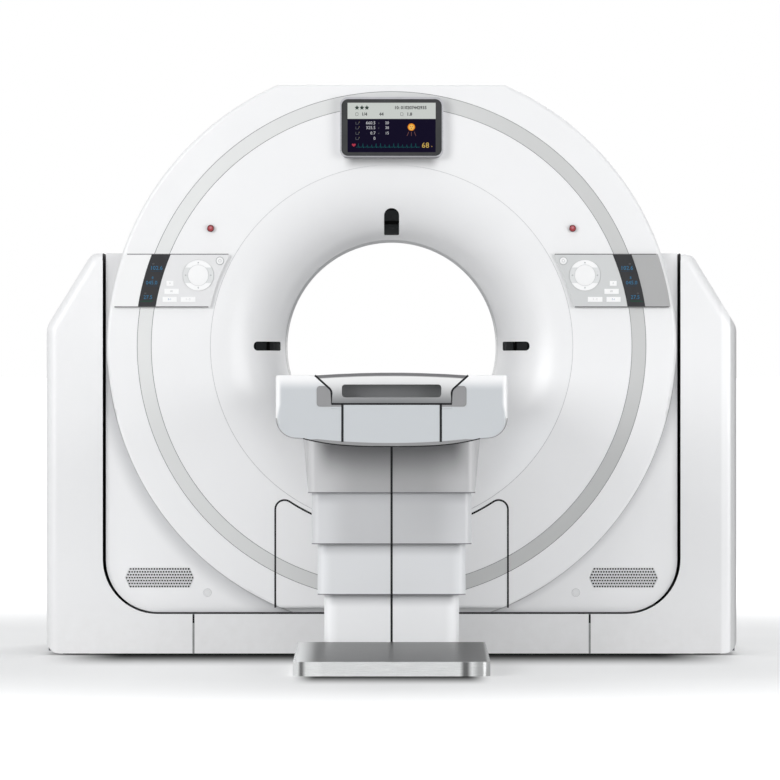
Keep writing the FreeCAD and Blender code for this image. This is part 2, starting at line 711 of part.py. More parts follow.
def front_shell():
    """The front half of the wrap, with an opening for each vent."""
    vent = slab_y(vent_corners(0), (-BODY_HALF_DEPTH - SEAM, -BODY_HALF_DEPTH + SHELL + SEAM))
    shell = half_shell()
    return one_solid(shell.cut([vent, mirrored(vent)]))


def rear_shell():
    """The rear half of the wrap."""
    return one_solid(turned_back(half_shell()))


def vent_grilles():
    """The grille of each vent, flush in the shoulder plate."""
    grille = slab_y(vent_corners(-FIT), (-BODY_HALF_DEPTH, -BODY_HALF_DEPTH + SHELL))
    return both_sides(grille)


def disc_shell():
    """The front disc as a hollow tray with a round edge."""
    outside = disc_block(DISC_RADIUS, DISC_BOTTOM, DISC_TOP, (FACE_Y, -BODY_HALF_DEPTH))
    edges = [edge for edge in outside.Edges if abs(edge.CenterOfMass.y - FACE_Y) < TOUCHING]
    outside = outside.makeFillet(DISC_EDGE, edges)
    hollow_y = (FACE_Y + SHELL, -BODY_HALF_DEPTH + SEAM)
    hollow = disc_block(DISC_RADIUS - SHELL, DISC_BOTTOM + SHELL, DISC_TOP - SHELL, hollow_y)
    return outside.cut(hollow)


def hatch_block(grow, y):
    """A block of the lower hatch's outline: straight sides under an arc round the funnel."""
    half = HATCH_HALF_WIDTH + grow
    block = box((-half, half), y, (DISC_BOTTOM - SEAM, ISO_HEIGHT))
    block = block.cut(bore_cylinder(HATCH_ARC - grow, y))
    sides = [edge for edge in edges_along(block, ALONG_Y) if edge.CenterOfMass.z > DISC_BOTTOM + SEAM]
    lower = [edge for edge in sides if edge.CenterOfMass.z < ISO_HEIGHT - SEAM]
    block = block.makeFillet(HATCH_CORNER + grow, lower)
    keep = sorted(block.Solids, key=lambda solid: solid.CenterOfMass.z)
    return keep[0]


def front_cover():
    """The front disc: a hole for the funnel, a groove for the trim ring and an opening for the hatch."""
    cover = disc_shell()
    through = (FACE_Y - SEAM, -BODY_HALF_DEPTH + SEAM)
    cover = cover.cut(hatch_block(HATCH_SEAM, through))
    lip_y = (FACE_Y + SHELL, FACE_Y + SHELL + HATCH_LIP_DEPTH)
    lip = hatch_block(HATCH_LIP, lip_y).cut(hatch_block(-HATCH_LIP, lip_y))
    inside = disc_block(DISC_RADIUS - SHELL - FIT, DISC_BOTTOM + SHELL + FIT, ISO_HEIGHT, lip_y)
    cover = cover.fuse(lip.common(inside))
    cover = cover.cut(bore_cylinder(FUNNEL_RADIUS, through))
    cover = cover.cut(ring(TRIM_OUTER + SEAM, TRIM_INNER - SEAM, (FACE_Y - SEAM, FACE_Y + TRIM_DEPTH)))
    for x in (-STOP_X, STOP_X):
        cover = cover.cut(rod(STOP_STEM + FIT, V(x, FACE_Y - SEAM, STOP_Z), SHELL + 2 * SEAM, ALONG_Y))
    return one_solid(cover)


def lower_hatch():
    """The service hatch in the lower middle of the front disc."""
    hatch = disc_shell().common(hatch_block(0, (FACE_Y, -BODY_HALF_DEPTH)))
    groove = ring(TRIM_OUTER + SEAM, TRIM_INNER - SEAM, (FACE_Y - SEAM, FACE_Y + TRIM_DEPTH))
    return one_solid(hatch.cut(groove))


def trim_ring():
    """The grey trim ring, flush in its groove and split along the hatch's seam."""
    band = ring(TRIM_OUTER, TRIM_INNER, (FACE_Y, FACE_Y + TRIM_DEPTH))
    through = (FACE_Y - SEAM, FACE_Y + TRIM_DEPTH + SEAM)
    return band.cut(hatch_block(HATCH_SEAM, through).cut(hatch_block(0, through)))


def rear_cover():
    """The rear disc, with a hole for the rear funnel."""
    cover = disc_shell().cut(bore_cylinder(FUNNEL_RADIUS, (FACE_Y - SEAM, -BODY_HALF_DEPTH + SEAM)))
    return one_solid(turned_back(cover))


def flare_curve(wall):
    """The bell curve from the front face to the bore, set back by a wall."""
    rise = FUNNEL_RADIUS - BORE_RADIUS
    throat_y = FACE_Y + FLARE_DEPTH
    curve = Part.BezierCurve()
    curve.setPoles([V(FUNNEL_RADIUS - SEAM, FACE_Y + wall, ISO_HEIGHT),
                    V(FUNNEL_RADIUS - rise * FLARE_LIP_PULL, FACE_Y + wall, ISO_HEIGHT),
                    V(BORE_RADIUS + wall, throat_y - FLARE_DEPTH * FLARE_THROAT_PULL, ISO_HEIGHT),
                    V(BORE_RADIUS + wall, throat_y, ISO_HEIGHT)])
    return curve


def funnel():
    """The front funnel: a bell that runs into the bore's lining."""
    front = flare_curve(0)
    back = flare_curve(FUNNEL_WALL)
    end_y = -WINDOW_WIDTH / 2
    throat = front.EndPoint
    throat_back = back.EndPoint
    end = V(BORE_RADIUS, end_y, ISO_HEIGHT)
    end_back = V(BORE_RADIUS + FUNNEL_WALL, end_y, ISO_HEIGHT)
    lines = [(throat, end), (end, end_back), (end_back, throat_back), (back.StartPoint, front.StartPoint)]
    edges = [front.toShape(), back.toShape()] + [Part.LineSegment(*line).toShape() for line in lines]
    section = Part.Face(Part.Wire(Part.__sortEdges__(edges)))
    return section.revolve(V(0, 0, ISO_HEIGHT), ALONG_Y, 360)


def laser_prisms(spare):
    """Prisms of the three laser windows, seen along the bore: above, right and left."""
    near = LASER_NEAR - spare
    far = LASER_FAR + spare
    half = LASER_TOP_WIDTH / 2 + spare
    depth = (FACE_Y - SEAM, FACE_Y + FLARE_DEPTH)
    corner = LASER_CORNER
    above = slab_y([(-half, ISO_HEIGHT + near, corner), (half, ISO_HEIGHT + near, corner),
                    (half, ISO_HEIGHT + far, half - SEAM), (-half, ISO_HEIGHT + far, half - SEAM)], depth)
    low = ISO_HEIGHT - LASER_SIDE_HEIGHT / 2 - spare
    high = ISO_HEIGHT + LASER_SIDE_HEIGHT / 2 + spare
    right = slab_y([(near, low, corner), (far, low, LASER_TIP),
                    (far, high, LASER_TIP), (near, high, corner)], depth)
    return [above, right, mirrored(right)]


def front_funnel():
    """The front funnel with its three window slots."""
    return funnel().cut(laser_prisms(FIT))


def laser_windows():
    """The black windows of the positioning lasers, curved like the funnel."""
    bell = funnel()
    return Part.makeCompound([bell.common(prism) for prism in laser_prisms(0)])


def rear_funnel():
    """The rear funnel, with no windows."""
    return turned_back(funnel())


def scan_window():
    """The clear ring between the funnels that the rays pass through."""
    half = WINDOW_WIDTH / 2 - FIT
    return ring(BORE_RADIUS + WINDOW_WALL, BORE_RADIUS, (-half, half))


def display_housing():
    """The display's silver housing, with a recess for the glass."""
    x = (-DISPLAY_WIDTH / 2, DISPLAY_WIDTH / 2)
    z = (DISPLAY_CENTRE - DISPLAY_HEIGHT / 2, DISPLAY_CENTRE + DISPLAY_HEIGHT / 2)
    housing = slab_y(rectangle(x, z, DISPLAY_CORNER), (FACE_Y - DISPLAY_DEPTH, FACE_Y))
    recess = display_glass_block(0)
    return housing.cut(recess)


def display_glass_block(spare):
    """The block that the display's glass fills, drawn in by a spare."""
    x = DISPLAY_WIDTH / 2 - DISPLAY_RIM - spare
    z = DISPLAY_HEIGHT / 2 - DISPLAY_RIM_HEIGHT - spare
    corners = rectangle((-x, x), (DISPLAY_CENTRE - z, DISPLAY_CENTRE + z), DISPLAY_CORNER - DISPLAY_RIM)
    front = FACE_Y - DISPLAY_DEPTH
    return slab_y(corners, (front, front + GLASS_DEPTH))


def display_glass():
    """The display's dark glass."""
    return display_glass_block(FIT)


def panel_sector(outer, inner, y, spare):
    """The right control panel's outline between two radii, drawn in by a spare."""
    z = (PANEL_BOTTOM + spare, PANEL_TOP - spare)
    return ring(outer, inner, y).common(box((0, outer), y, z))


def key_disc(x, z, radius, y):
    """A round key or pocket on the right panel."""
    return rod(radius, V(x, y[0], z), y[1] - y[0], ALONG_Y)


def control_panel():
    """The right control panel: a pocket for the readout and for each key, and raised flat keys."""
    panel = panel_sector(PANEL_OUTER, PANEL_INNER, (PANEL_FACE, FACE_Y), 0)
    panel = panel.makeFillet(PANEL_CORNER, edges_along(panel, ALONG_Y))
    panel = panel.cut(ring(READOUT_OUTER, READOUT_INNER, (PANEL_FACE - SEAM, PANEL_FACE + READOUT_DEPTH)))
    pocket = (PANEL_FACE - SEAM, PANEL_FACE - KEY_RISE + KEY_DEPTH + KEY_TRAVEL + KEY_SPARE)
    panel = panel.cut(key_disc(PAD_CENTRE_X, PAD_CENTRE_Z, PAD_RADIUS + FIT, pocket))
    panel = panel.cut(key_disc(ROUND_KEY_X, ROUND_KEY_Z, ROUND_KEY_RADIUS + FIT, pocket))
    key_y = (PANEL_FACE - FLAT_KEY_RISE, PANEL_FACE)
    for along, down in zip(FLAT_KEYS_ALONG, FLAT_KEYS_DOWN):
        key_x = (PANEL_INNER + along[0], PANEL_INNER + along[1])
        panel = panel.fuse(box(key_x, key_y, (PANEL_TOP - down[1], PANEL_TOP - down[0])))
    return one_solid(panel)


def control_panels():
    """The control panel on each side of the disc."""
    return both_sides(control_panel())


def panel_readouts():
    """The dark readout band of each panel, flush in its pocket."""
    depth = (PANEL_FACE, PANEL_FACE + READOUT_DEPTH)
    return both_sides(panel_sector(READOUT_OUTER - FIT, READOUT_INNER + FIT, depth, 0))


def pad_ring():
    """The right panel's round direction pad."""
    depth = (PANEL_FACE - KEY_RISE, PANEL_FACE - KEY_RISE + KEY_DEPTH)
    pad = key_disc(PAD_CENTRE_X, PAD_CENTRE_Z, PAD_RADIUS, depth)
    return pad.cut(key_disc(PAD_CENTRE_X, PAD_CENTRE_Z, CENTRE_KEY_RADIUS + FIT, depth))


def centre_key():
    """The right panel's centre key, inside the pad."""
    depth = (PANEL_FACE - KEY_RISE, PANEL_FACE - KEY_RISE + KEY_DEPTH)
    return key_disc(PAD_CENTRE_X, PAD_CENTRE_Z, CENTRE_KEY_RADIUS, depth)


def round_key():
    """The right panel's small round key."""
    depth = (PANEL_FACE - KEY_RISE, PANEL_FACE - KEY_RISE + KEY_DEPTH)
    return key_disc(ROUND_KEY_X, ROUND_KEY_Z, ROUND_KEY_RADIUS, depth)


def stop_button():
    """The right emergency stop button: a round head on a stem through the disc."""
    head_y = FACE_Y - STOP_TRAVEL - FIT
    stem = rod(STOP_STEM, V(STOP_X, head_y, STOP_Z), SHELL + STOP_TRAVEL + FIT, ALONG_Y)
    head_depth = STOP_RISE - STOP_TRAVEL
    head_start = V(STOP_X, head_y - head_depth, STOP_Z)
    head = rod(STOP_RADIUS, head_start, head_depth, ALONG_Y)
    front = [edge for edge in head.Edges if abs(edge.CenterOfMass.y - head_start.y) < TOUCHING]
    return one_solid(head.makeFillet(STOP_RISE / 4, front).fuse(stem))


# ---------------------------------------------------------------- drive and rotor

def bearing_outer_race():
    """The main bearing's outer race, bolted to the frame."""
    return ring(RACE_OUTER, RACE_SPLIT, (DRUM_END + FIT, FRAME_START))


def bearing_inner_race():
    """The main bearing's inner race, which carries the drum."""
    return ring(RACE_SPLIT - FIT, RACE_INNER, (DRUM_END, FRAME_START - FIT))


def rotor_drum():
    """The drum plate with a rim, which everything that spins is bolted to."""
    plate = ring(DRUM_RADIUS, DRUM_HOLE, (DRUM_START, DRUM_END))
    rim = ring(DRUM_RADIUS, DRUM_RADIUS - DRUM_RIM, (DRUM_START - DRUM_RIM_DEPTH, DRUM_START))
    return one_solid(plate.fuse(rim))


def slip_ring():
    """The ring that brings power and data to the rotor."""
    return ring(RACE_INNER, SLIP_RING_INNER, (DRUM_END, SLIP_RING_END))


def brush_block():
    """The brush holder beside the slip ring, bolted to the frame."""
    inner = RACE_INNER + FIT
    height = (ISO_HEIGHT - BRUSH_WIDTH / 2, ISO_HEIGHT + BRUSH_WIDTH / 2)
    return box((inner, inner + BRUSH_HEIGHT), (FRAME_END, FRAME_END + BRUSH_DEPTH), height)


def xray_tube():
    """The X-ray tube's housing, with its two end caps."""
    start = DRUM_START - TUBE_LENGTH
    centre = ISO_HEIGHT + TUBE_CENTRE
    body = rod(TUBE_RADIUS, V(0, start, centre), TUBE_LENGTH, ALONG_Y)
    cap_radius = TUBE_RADIUS * TUBE_CAP_SHARE
    cap_depth = TUBE_RADIUS - cap_radius
    cap = Part.makeCone(cap_radius, TUBE_RADIUS, cap_depth, V(0, start - cap_depth, centre), ALONG_Y)
    return one_solid(body.fuse(cap))


def collimator():
    """The collimator box between the tube and the bore."""
    far = TUBE_CENTRE - TUBE_RADIUS - FIT
    slot = COLLIMATOR_WIDTH / 4
    y = (DRUM_START - COLLIMATOR_DEPTH, DRUM_START)
    z = (ISO_HEIGHT + COLLIMATOR_NEAR, ISO_HEIGHT + far)
    body = box((-COLLIMATOR_WIDTH / 2, COLLIMATOR_WIDTH / 2), y, z)
    beam = box((-slot, slot), (-slot / 4, slot / 4), (z[0] - SEAM, z[1] + SEAM))
    return body.cut(beam)


def detector_arc():
    """The curved detector opposite the tube."""
    y = (DRUM_START - DETECTOR_DEPTH, DRUM_START)
    arc = Part.makeCylinder(DETECTOR_OUTER, DETECTOR_DEPTH, V(0, y[0], 0), ALONG_Y, DETECTOR_ANGLE)
    arc = arc.cut(rod(DETECTOR_INNER, V(0, y[0], 0), DETECTOR_DEPTH, ALONG_Y)).Solids[0]
    middle = V(arc.CenterOfMass.x, 0, arc.CenterOfMass.z)
    turn = math.degrees(math.atan2(middle.x, middle.z))
    arc.rotate(V(0, 0, 0), ALONG_Y, 180 - turn)
    arc.translate(V(0, 0, ISO_HEIGHT))
    return arc


def generator():
    """The high-voltage generator, a box on the drum."""
    y = (DRUM_START - GENERATOR_DEPTH, DRUM_START)
    z = (ISO_HEIGHT + GENERATOR_NEAR, ISO_HEIGHT + GENERATOR_FAR)
    body = box((-GENERATOR_WIDTH / 2, GENERATOR_WIDTH / 2), y, z)
    return at_angle(body, GENERATOR_ANGLE)


def heat_exchanger():
    """The tube's oil cooler: a box with fins across its front, opposite the generator."""
    front = DRUM_START - GENERATOR_DEPTH
    z = (ISO_HEIGHT + GENERATOR_NEAR, ISO_HEIGHT + GENERATOR_FAR)
    half = GENERATOR_WIDTH / 2
    body = box((-half, half), (front, DRUM_START), z)
    count = int(2 * half / COOLER_FIN_PITCH)
    for index in range(count):
        x = -half + index * COOLER_FIN_PITCH + COOLER_FIN_PITCH / 4
        gap = (x, x + COOLER_FIN_PITCH / 2)
        body = body.cut(box(gap, (front - SEAM, front + COOLER_FIN_PITCH), (z[0] - SEAM, z[1] + SEAM)))
    return at_angle(body, COOLER_ANGLE)


def motor_pulley():
    """The drive pulley and its shaft through the frame."""
    y = (DRUM_START, DRUM_END)
    wheel = rod(PULLEY_RADIUS, V(PULLEY_X, y[0], PULLEY_Z), DRUM_THICK, ALONG_Y)
    shaft = rod(SHAFT_RADIUS, V(PULLEY_X, y[0], PULLEY_Z), FRAME_END - FIT - y[0], ALONG_Y)
    return one_solid(wheel.fuse(shaft))


def drive_motor():
    """The motor behind the frame that spins the rotor."""
    return rod(MOTOR_RADIUS, V(PULLEY_X, FRAME_END, PULLEY_Z), MOTOR_LENGTH, ALONG_Y)


def belt_block(spare, y):
    """The solid inside a belt round the drum and the pulley, grown by a spare."""
    big = DRUM_RADIUS + spare
    small = PULLEY_RADIUS + spare
    reach = V(PULLEY_X, 0, PULLEY_Z - ISO_HEIGHT)
    heading = math.atan2(reach.z, reach.x)
    spread = math.acos((big - small) / reach.Length)
    corners = []
    wheels = ((0, ISO_HEIGHT, big, (1, -1)), (PULLEY_X, PULLEY_Z, small, (-1, 1)))
    for centre_x, centre_z, radius, order in wheels:
        for side in order:
            angle = heading + side * spread
            corners.append((centre_x + radius * math.cos(angle), centre_z + radius * math.sin(angle), 0))
    wheel = rod(small, V(PULLEY_X, y[0], PULLEY_Z), y[1] - y[0], ALONG_Y)
    return bore_cylinder(big, y).fuse([wheel, slab_y(corners, y)])


def drive_belt():
    """The belt from the motor's pulley round the drum."""
    y = (DRUM_START + BELT_MARGIN, DRUM_END - BELT_MARGIN)
    hollow = (y[0] - SEAM, y[1] + SEAM)
    return one_solid(belt_block(FIT + BELT_THICK, y).cut(belt_block(FIT, hollow)))


# ---------------------------------------------------------------- table

def foot_plate():
    """The table's metal foot: its top slopes down to the front, and bosses inside take the anchors."""
    reach = PLATE_FRONT_HALF + SEAM
    column_front = COLUMN_Y - STAGE_HALF_DEPTHS[0]
    side = [(PLATE_FRONT, 0, 0), (PLATE_REAR, 0, 0), (PLATE_REAR, PLATE_TOP, 0),
            (column_front, PLATE_TOP, 0), (PLATE_FRONT, PLATE_FRONT_HEIGHT, 0)]
    plan = [(-PLATE_FRONT_HALF, PLATE_FRONT, PLATE_CORNER), (PLATE_FRONT_HALF, PLATE_FRONT, PLATE_CORNER),
            (PLATE_REAR_HALF, PLATE_REAR, PLATE_CORNER), (-PLATE_REAR_HALF, PLATE_REAR, PLATE_CORNER)]
    foot = slab_x(side, (-reach, reach)).common(slab_z(plan, (0, PLATE_TOP)))
    low_side = [(y, z - PLATE_WALL, 0) for y, z, radius in side]
    inside = slab_z(inset(plan, PLATE_WALL), (-PLATE_WALL, PLATE_TOP))
    foot = foot.cut(slab_x(low_side, (-reach, reach)).common(inside))
    for x in (-PLATE_BOLT_X, PLATE_BOLT_X):
        for y in (COLUMN_Y - PLATE_BOLT_Y, COLUMN_Y + PLATE_BOLT_Y):
            foot = foot.fuse(rod(PLATE_BOSS_RADIUS, V(x, y, 0), PLATE_TOP, ALONG_Z))
            foot = foot.cut(rod(PLATE_BOLT_RADIUS, V(x, y, -SEAM), PLATE_TOP + 2 * SEAM, ALONG_Z))
    return one_solid(foot)


def stage_plan(level, wall):
    """A column stage's outline seen from above, drawn in by a wall."""
    half = STAGE_HALF_WIDTHS[level] - wall
    depth = STAGE_HALF_DEPTHS[level] - wall
    return rectangle((-half, half), (COLUMN_Y - depth, COLUMN_Y + depth), STAGE_CORNER - wall / 2)


def column_stage(level):
    """One telescopic stage: a tube with a lip at its foot that wipes the stage below."""
    z = (STAGE_BOTTOMS[level], STAGE_TOPS[level])
    stage = slab_z(stage_plan(level, 0), z)
    stage = stage.cut(slab_z(stage_plan(level, STAGE_WALL), (z[0] + STAGE_LIP, z[1] + SEAM)))
    opening = stage_plan(level - 1, -FIT) if level > 0 else stage_plan(0, STAGE_WALL + STAGE_LIP)
    stage = stage.cut(slab_z(opening, (z[0] - SEAM, z[0] + STAGE_LIP + SEAM)))
    half = STAGE_SEAM_WIDTH / 2
    for side in (-1, 1):
        face = COLUMN_Y + side * STAGE_HALF_DEPTHS[level]
        groove = (face - STAGE_SEAM_DEPTH, face + STAGE_SEAM_DEPTH)
        stage = stage.cut(box((-half, half), groove, (z[0] - SEAM, z[1] + SEAM)))
    return stage


def column_stage_1():
    """The lowest stage, bolted to the foot."""
    return column_stage(0)


def column_stage_2():
    """The second stage."""
    return column_stage(1)


def column_stage_3():
    """The third stage."""
    return column_stage(2)


def column_stage_4():
    """The top stage, which flares a little and is cut to the table's underside."""
    stage = column_stage(3)
    half = STAGE_HALF_WIDTHS[3]
    low = STAGE_BOTTOMS[3] + STAGE_LIP
    flare = [(-half, low, 0), (half, low, 0),
             (half + STAGE_FLARE, FRAME_BOTTOM, 0), (-half - STAGE_FLARE, FRAME_BOTTOM, 0)]
    reach = STAGE_HALF_DEPTHS[3] - STAGE_CORNER
    depth = (COLUMN_Y - reach, COLUMN_Y + reach)
    inner = half - STAGE_WALL
    wedge = slab_y(flare, depth).cut(box((-inner, inner), depth, (0, TABLE_TOP)))
    cover = slab_y(side_cover_corners(), (TABLE_NEAR, TABLE_FAR))
    stage = stage.fuse(wedge).cut([cover, mirrored(cover)])
    return one_solid(stage)


def lift_drive():
    """The lift's motor and, in front of it, its spindle, on the foot inside the column."""
    motor = rod(LIFT_MOTOR_RADIUS, V(0, COLUMN_Y + PLATE_BOLT_Y / 2, PLATE_TOP), LIFT_MOTOR_HEIGHT, ALONG_Z)
    height = STAGE_TOPS[0] - PLATE_TOP
    spindle = rod(SPINDLE_RADIUS, V(0, COLUMN_Y - PLATE_BOLT_Y / 2, PLATE_TOP), height, ALONG_Z)
    return Part.makeCompound([motor, spindle])


def cable_bridge():
    """The low cable cover on the floor from the table's foot to the skirt."""
    y = (PLATE_REAR + FIT, STAND_FRONT - FIT)
    half = BRIDGE_HALF_WIDTH
    base = half + BRIDGE_SLOPE
    corners = [(-base, 0, 0), (base, 0, 0),
               (half, BRIDGE_HEIGHT, BRIDGE_CORNER), (-half, BRIDGE_HEIGHT, BRIDGE_CORNER)]
    return slab_y(corners, y)


def cradle_block(y):
    """The cradle's section, without its crown."""
    top = CRADLE_TOP_HALF
    waist = CRADLE_WAIST_HALF
    corners = [(-waist, CRADLE_BOTTOM, 0), (waist, CRADLE_BOTTOM, 0), (waist, CRADLE_WAIST, CRADLE_CORNER),
               (top, TABLE_TOP, 0), (-top, TABLE_TOP, 0), (-waist, CRADLE_WAIST, CRADLE_CORNER)]
    return slab_y(corners, y)


def side_cover_corners():
    """The right half of the table's section, between the frame and the cradle."""
    keel = TABLE_KEEL + (TABLE_SIDE_BOTTOM - TABLE_KEEL) * PANEL_HALF_WIDTH / TABLE_HALF_WIDTH
    shelf = CRADLE_REST - TABLE_SHELF_DROP
    waist = CRADLE_WAIST_HALF + CRADLE_GAP
    return [(PANEL_HALF_WIDTH, keel, 0), (TABLE_HALF_WIDTH, TABLE_SIDE_BOTTOM, TABLE_CORNER),
            (TABLE_HALF_WIDTH, TABLE_TOP, TABLE_TOP_CORNER), (CRADLE_TOP_HALF + CRADLE_GAP, TABLE_TOP, 0),
            (waist, CRADLE_WAIST, 0), (waist, shelf, 0), (PANEL_HALF_WIDTH, shelf, 0)]


def table_plan(z):
    """The table's outline seen from above, with round corners."""
    plan = rectangle((-TABLE_HALF_WIDTH, TABLE_HALF_WIDTH), (TABLE_NEAR, TABLE_FAR), TABLE_PLAN_CORNER)
    return slab_z(plan, z)


def table_side_cover():
    """The right side cover: a channel that closes on the frame, with an end wall at each end."""
    corners = side_cover_corners()
    cover = slab_y(corners, (TABLE_NEAR, TABLE_FAR)).common(table_plan((0, TABLE_TOP)))
    inside = (TABLE_NEAR + END_WALL, TABLE_FAR - END_WALL)
    hollow = slab_y(inset(corners, TABLE_WALL), inside)
    cover = cover.cut(hollow)
    window = (corners[0][1] + TABLE_WALL * 2, corners[-1][1] - TABLE_WALL * 2)
    cover = cover.cut(box((PANEL_HALF_WIDTH - SEAM, PANEL_HALF_WIDTH + TABLE_WALL * 2), inside, window))
    return cover.cut(ear_block(0))


def table_side_covers():
    """The covers along both sides of the table."""
    return both_sides(table_side_cover())


def ear_block(spare):
    """The block of the grey inlay beside the cradle's end, drawn in by a spare."""
    corners = rectangle((0, EAR_HALF_WIDTH - spare), (EAR_BOTTOM + spare, EAR_TOP - spare), EAR_CORNER)
    block = slab_y(corners, (TABLE_NEAR - SEAM, TABLE_NEAR + EAR_DEPTH))
    return block.common(slab_y(side_cover_corners(), (TABLE_NEAR - SEAM, TABLE_NEAR + EAR_DEPTH)))


def end_inlays():
    """The grey inlays on both sides of the cradle's end, flush in the covers' ends."""
    flush = box((0, TABLE_HALF_WIDTH), (TABLE_NEAR, TABLE_NEAR + EAR_DEPTH), (0, TABLE_TOP))
    return both_sides(ear_block(FIT).common(flush))


def table_end_panel():
    """The middle panel of the table's near end."""
    half = PANEL_HALF_WIDTH - SEAM
    corners = [(-half, CRADLE_REST, 0), (-TABLE_HALF_WIDTH, TABLE_SIDE_BOTTOM, 0),
               (0, TABLE_KEEL, END_PANEL_CORNER),
               (TABLE_HALF_WIDTH, TABLE_SIDE_BOTTOM, 0), (half, CRADLE_REST, 0)]
    y = (TABLE_NEAR, TABLE_NEAR + END_WALL)
    return slab_y(corners, y).common(box((-half, half), y, (0, CRADLE_REST)))


def table_frame():
    """The table's beam: a box tube with a flange and two rails for the cradle."""
    half = PANEL_HALF_WIDTH - FIT
    y = (TABLE_NEAR + END_WALL + FIT, TABLE_FAR - END_WALL)
    beam = box((-half, half), y, (FRAME_BOTTOM, CRADLE_REST))
    inside_x = (-half + FRAME_WALL, half - FRAME_WALL)
    inside_z = (FRAME_BOTTOM + FRAME_WALL, CRADLE_REST - FRAME_WALL)
    beam = beam.cut(box(inside_x, (y[0] - SEAM, y[1] + SEAM), inside_z))
    flange_half = CRADLE_WAIST_HALF + CRADLE_GAP - SEAM
    beam = beam.fuse(box((-flange_half, flange_half), y, (CRADLE_REST - FRAME_WALL, CRADLE_REST)))
    rail_end = CRADLE_WAIST_HALF - 2 * SEAM
    rail_x = (rail_end - SLIDE_RAIL_WIDTH, rail_end)
    rail = box(rail_x, y, (CRADLE_REST, CRADLE_BOTTOM - FIT))
    return one_solid(beam.fuse([rail, mirrored(rail)]))


def cradle():
    """The cradle that carries the patient: a crowned shell, open below, with a handle recess."""
    y = (TABLE_NEAR, TABLE_FAR)
    half = CRADLE_TOP_HALF
    left = V(-half, TABLE_NEAR, TABLE_TOP)
    right = V(half, TABLE_NEAR, TABLE_TOP)
    top = V(0, TABLE_NEAR, TABLE_TOP + CRADLE_CROWN)
    arch = [Part.Arc(left, top, right).toShape(), Part.LineSegment(right, left).toShape()]
    crown = Part.Face(Part.Wire(arch))
    shape = cradle_block(y).fuse(crown.extrude(V(0, TABLE_FAR - TABLE_NEAR, 0)))
    inner = CRADLE_WAIST_HALF - CRADLE_SIDE
    hollow_y = (TABLE_NEAR + CRADLE_END, TABLE_FAR - CRADLE_END / 2)
    shape = shape.cut(box((-inner, inner), hollow_y, (CRADLE_BOTTOM - SEAM, TABLE_TOP - CRADLE_SKIN)))
    recess = rectangle((-HANDLE_HALF_WIDTH, HANDLE_HALF_WIDTH), (HANDLE_BOTTOM, HANDLE_TOP), HANDLE_CORNER)
    shape = shape.cut(slab_y(recess, (TABLE_NEAR - SEAM, TABLE_NEAR + HANDLE_DEPTH)))
    return one_solid(shape)


NODES = {
    "base_frame": base_frame, "levelling_feet": levelling_feet, "tilt_stands": tilt_stands,
    "tilt_bearings": tilt_bearings, "tilt_motor": tilt_motor,
    "front_corner_covers": front_corner_covers, "rear_corner_covers": rear_corner_covers,
    "side_covers": side_covers, "front_skirt": front_skirt, "rear_skirt": rear_skirt,
    "gantry_frame": gantry_frame, "tilt_pins": tilt_pins, "front_shell": front_shell,
    "rear_shell": rear_shell, "vent_grilles": vent_grilles, "front_cover": front_cover,
    "lower_hatch": lower_hatch, "trim_ring": trim_ring, "rear_cover": rear_cover,
    "front_funnel": front_funnel, "laser_windows": laser_windows, "rear_funnel": rear_funnel,
    "scan_window": scan_window, "display_housing": display_housing, "display_glass": display_glass,
    "control_panels": control_panels, "panel_readouts": panel_readouts,
    "right_pad": pad_ring, "right_centre_key": centre_key, "right_round_key": round_key,
    "right_stop_button": stop_button,
    "left_pad": lambda: mirrored(pad_ring()), "left_centre_key": lambda: mirrored(centre_key()),
    "left_round_key": lambda: mirrored(round_key()), "left_stop_button": lambda: mirrored(stop_button()),
    "bearing_outer_race": bearing_outer_race, "bearing_inner_race": bearing_inner_race,
    "rotor_drum": rotor_drum, "slip_ring": slip_ring, "brush_block": brush_block,
    "xray_tube": xray_tube, "collimator": collimator, "detector_arc": detector_arc,
    "generator": generator, "heat_exchanger": heat_exchanger, "motor_pulley": motor_pulley,
    "drive_motor": drive_motor, "drive_belt": drive_belt,
    "foot_plate": foot_plate, "cable_bridge": cable_bridge, "column_stage_1": column_stage_1,
    "column_stage_2": column_stage_2, "column_stage_3": column_stage_3, "column_stage_4": column_stage_4,
    "lift_drive": lift_drive, "table_frame": table_frame,
    "table_side_covers": table_side_covers, "end_inlays": end_inlays,
    "table_end_panel": table_end_panel, "cradle": cradle,
}


def main():
    """Builds every node and writes one STEP file for each."""
    os.makedirs("parts", exist_ok=True)
    for name, build in NODES.items():
        shape = build()
        print(f"{name}: {len(shape.Solids)} solids, {shape.Volume / 1e6:.3f} litres, valid {shape.isValid()}")
        shape.exportStep(f"parts/{name}.step")


main()
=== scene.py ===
"""Dresses the CT scanner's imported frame: finishes, fine pieces, studio light, floor and camera."""

import logging
import math
from collections.abc import Callable, Sequence
from dataclasses import dataclass, field
from enum import Enum

import bmesh
import bpy
from mathutils import Matrix, Vector


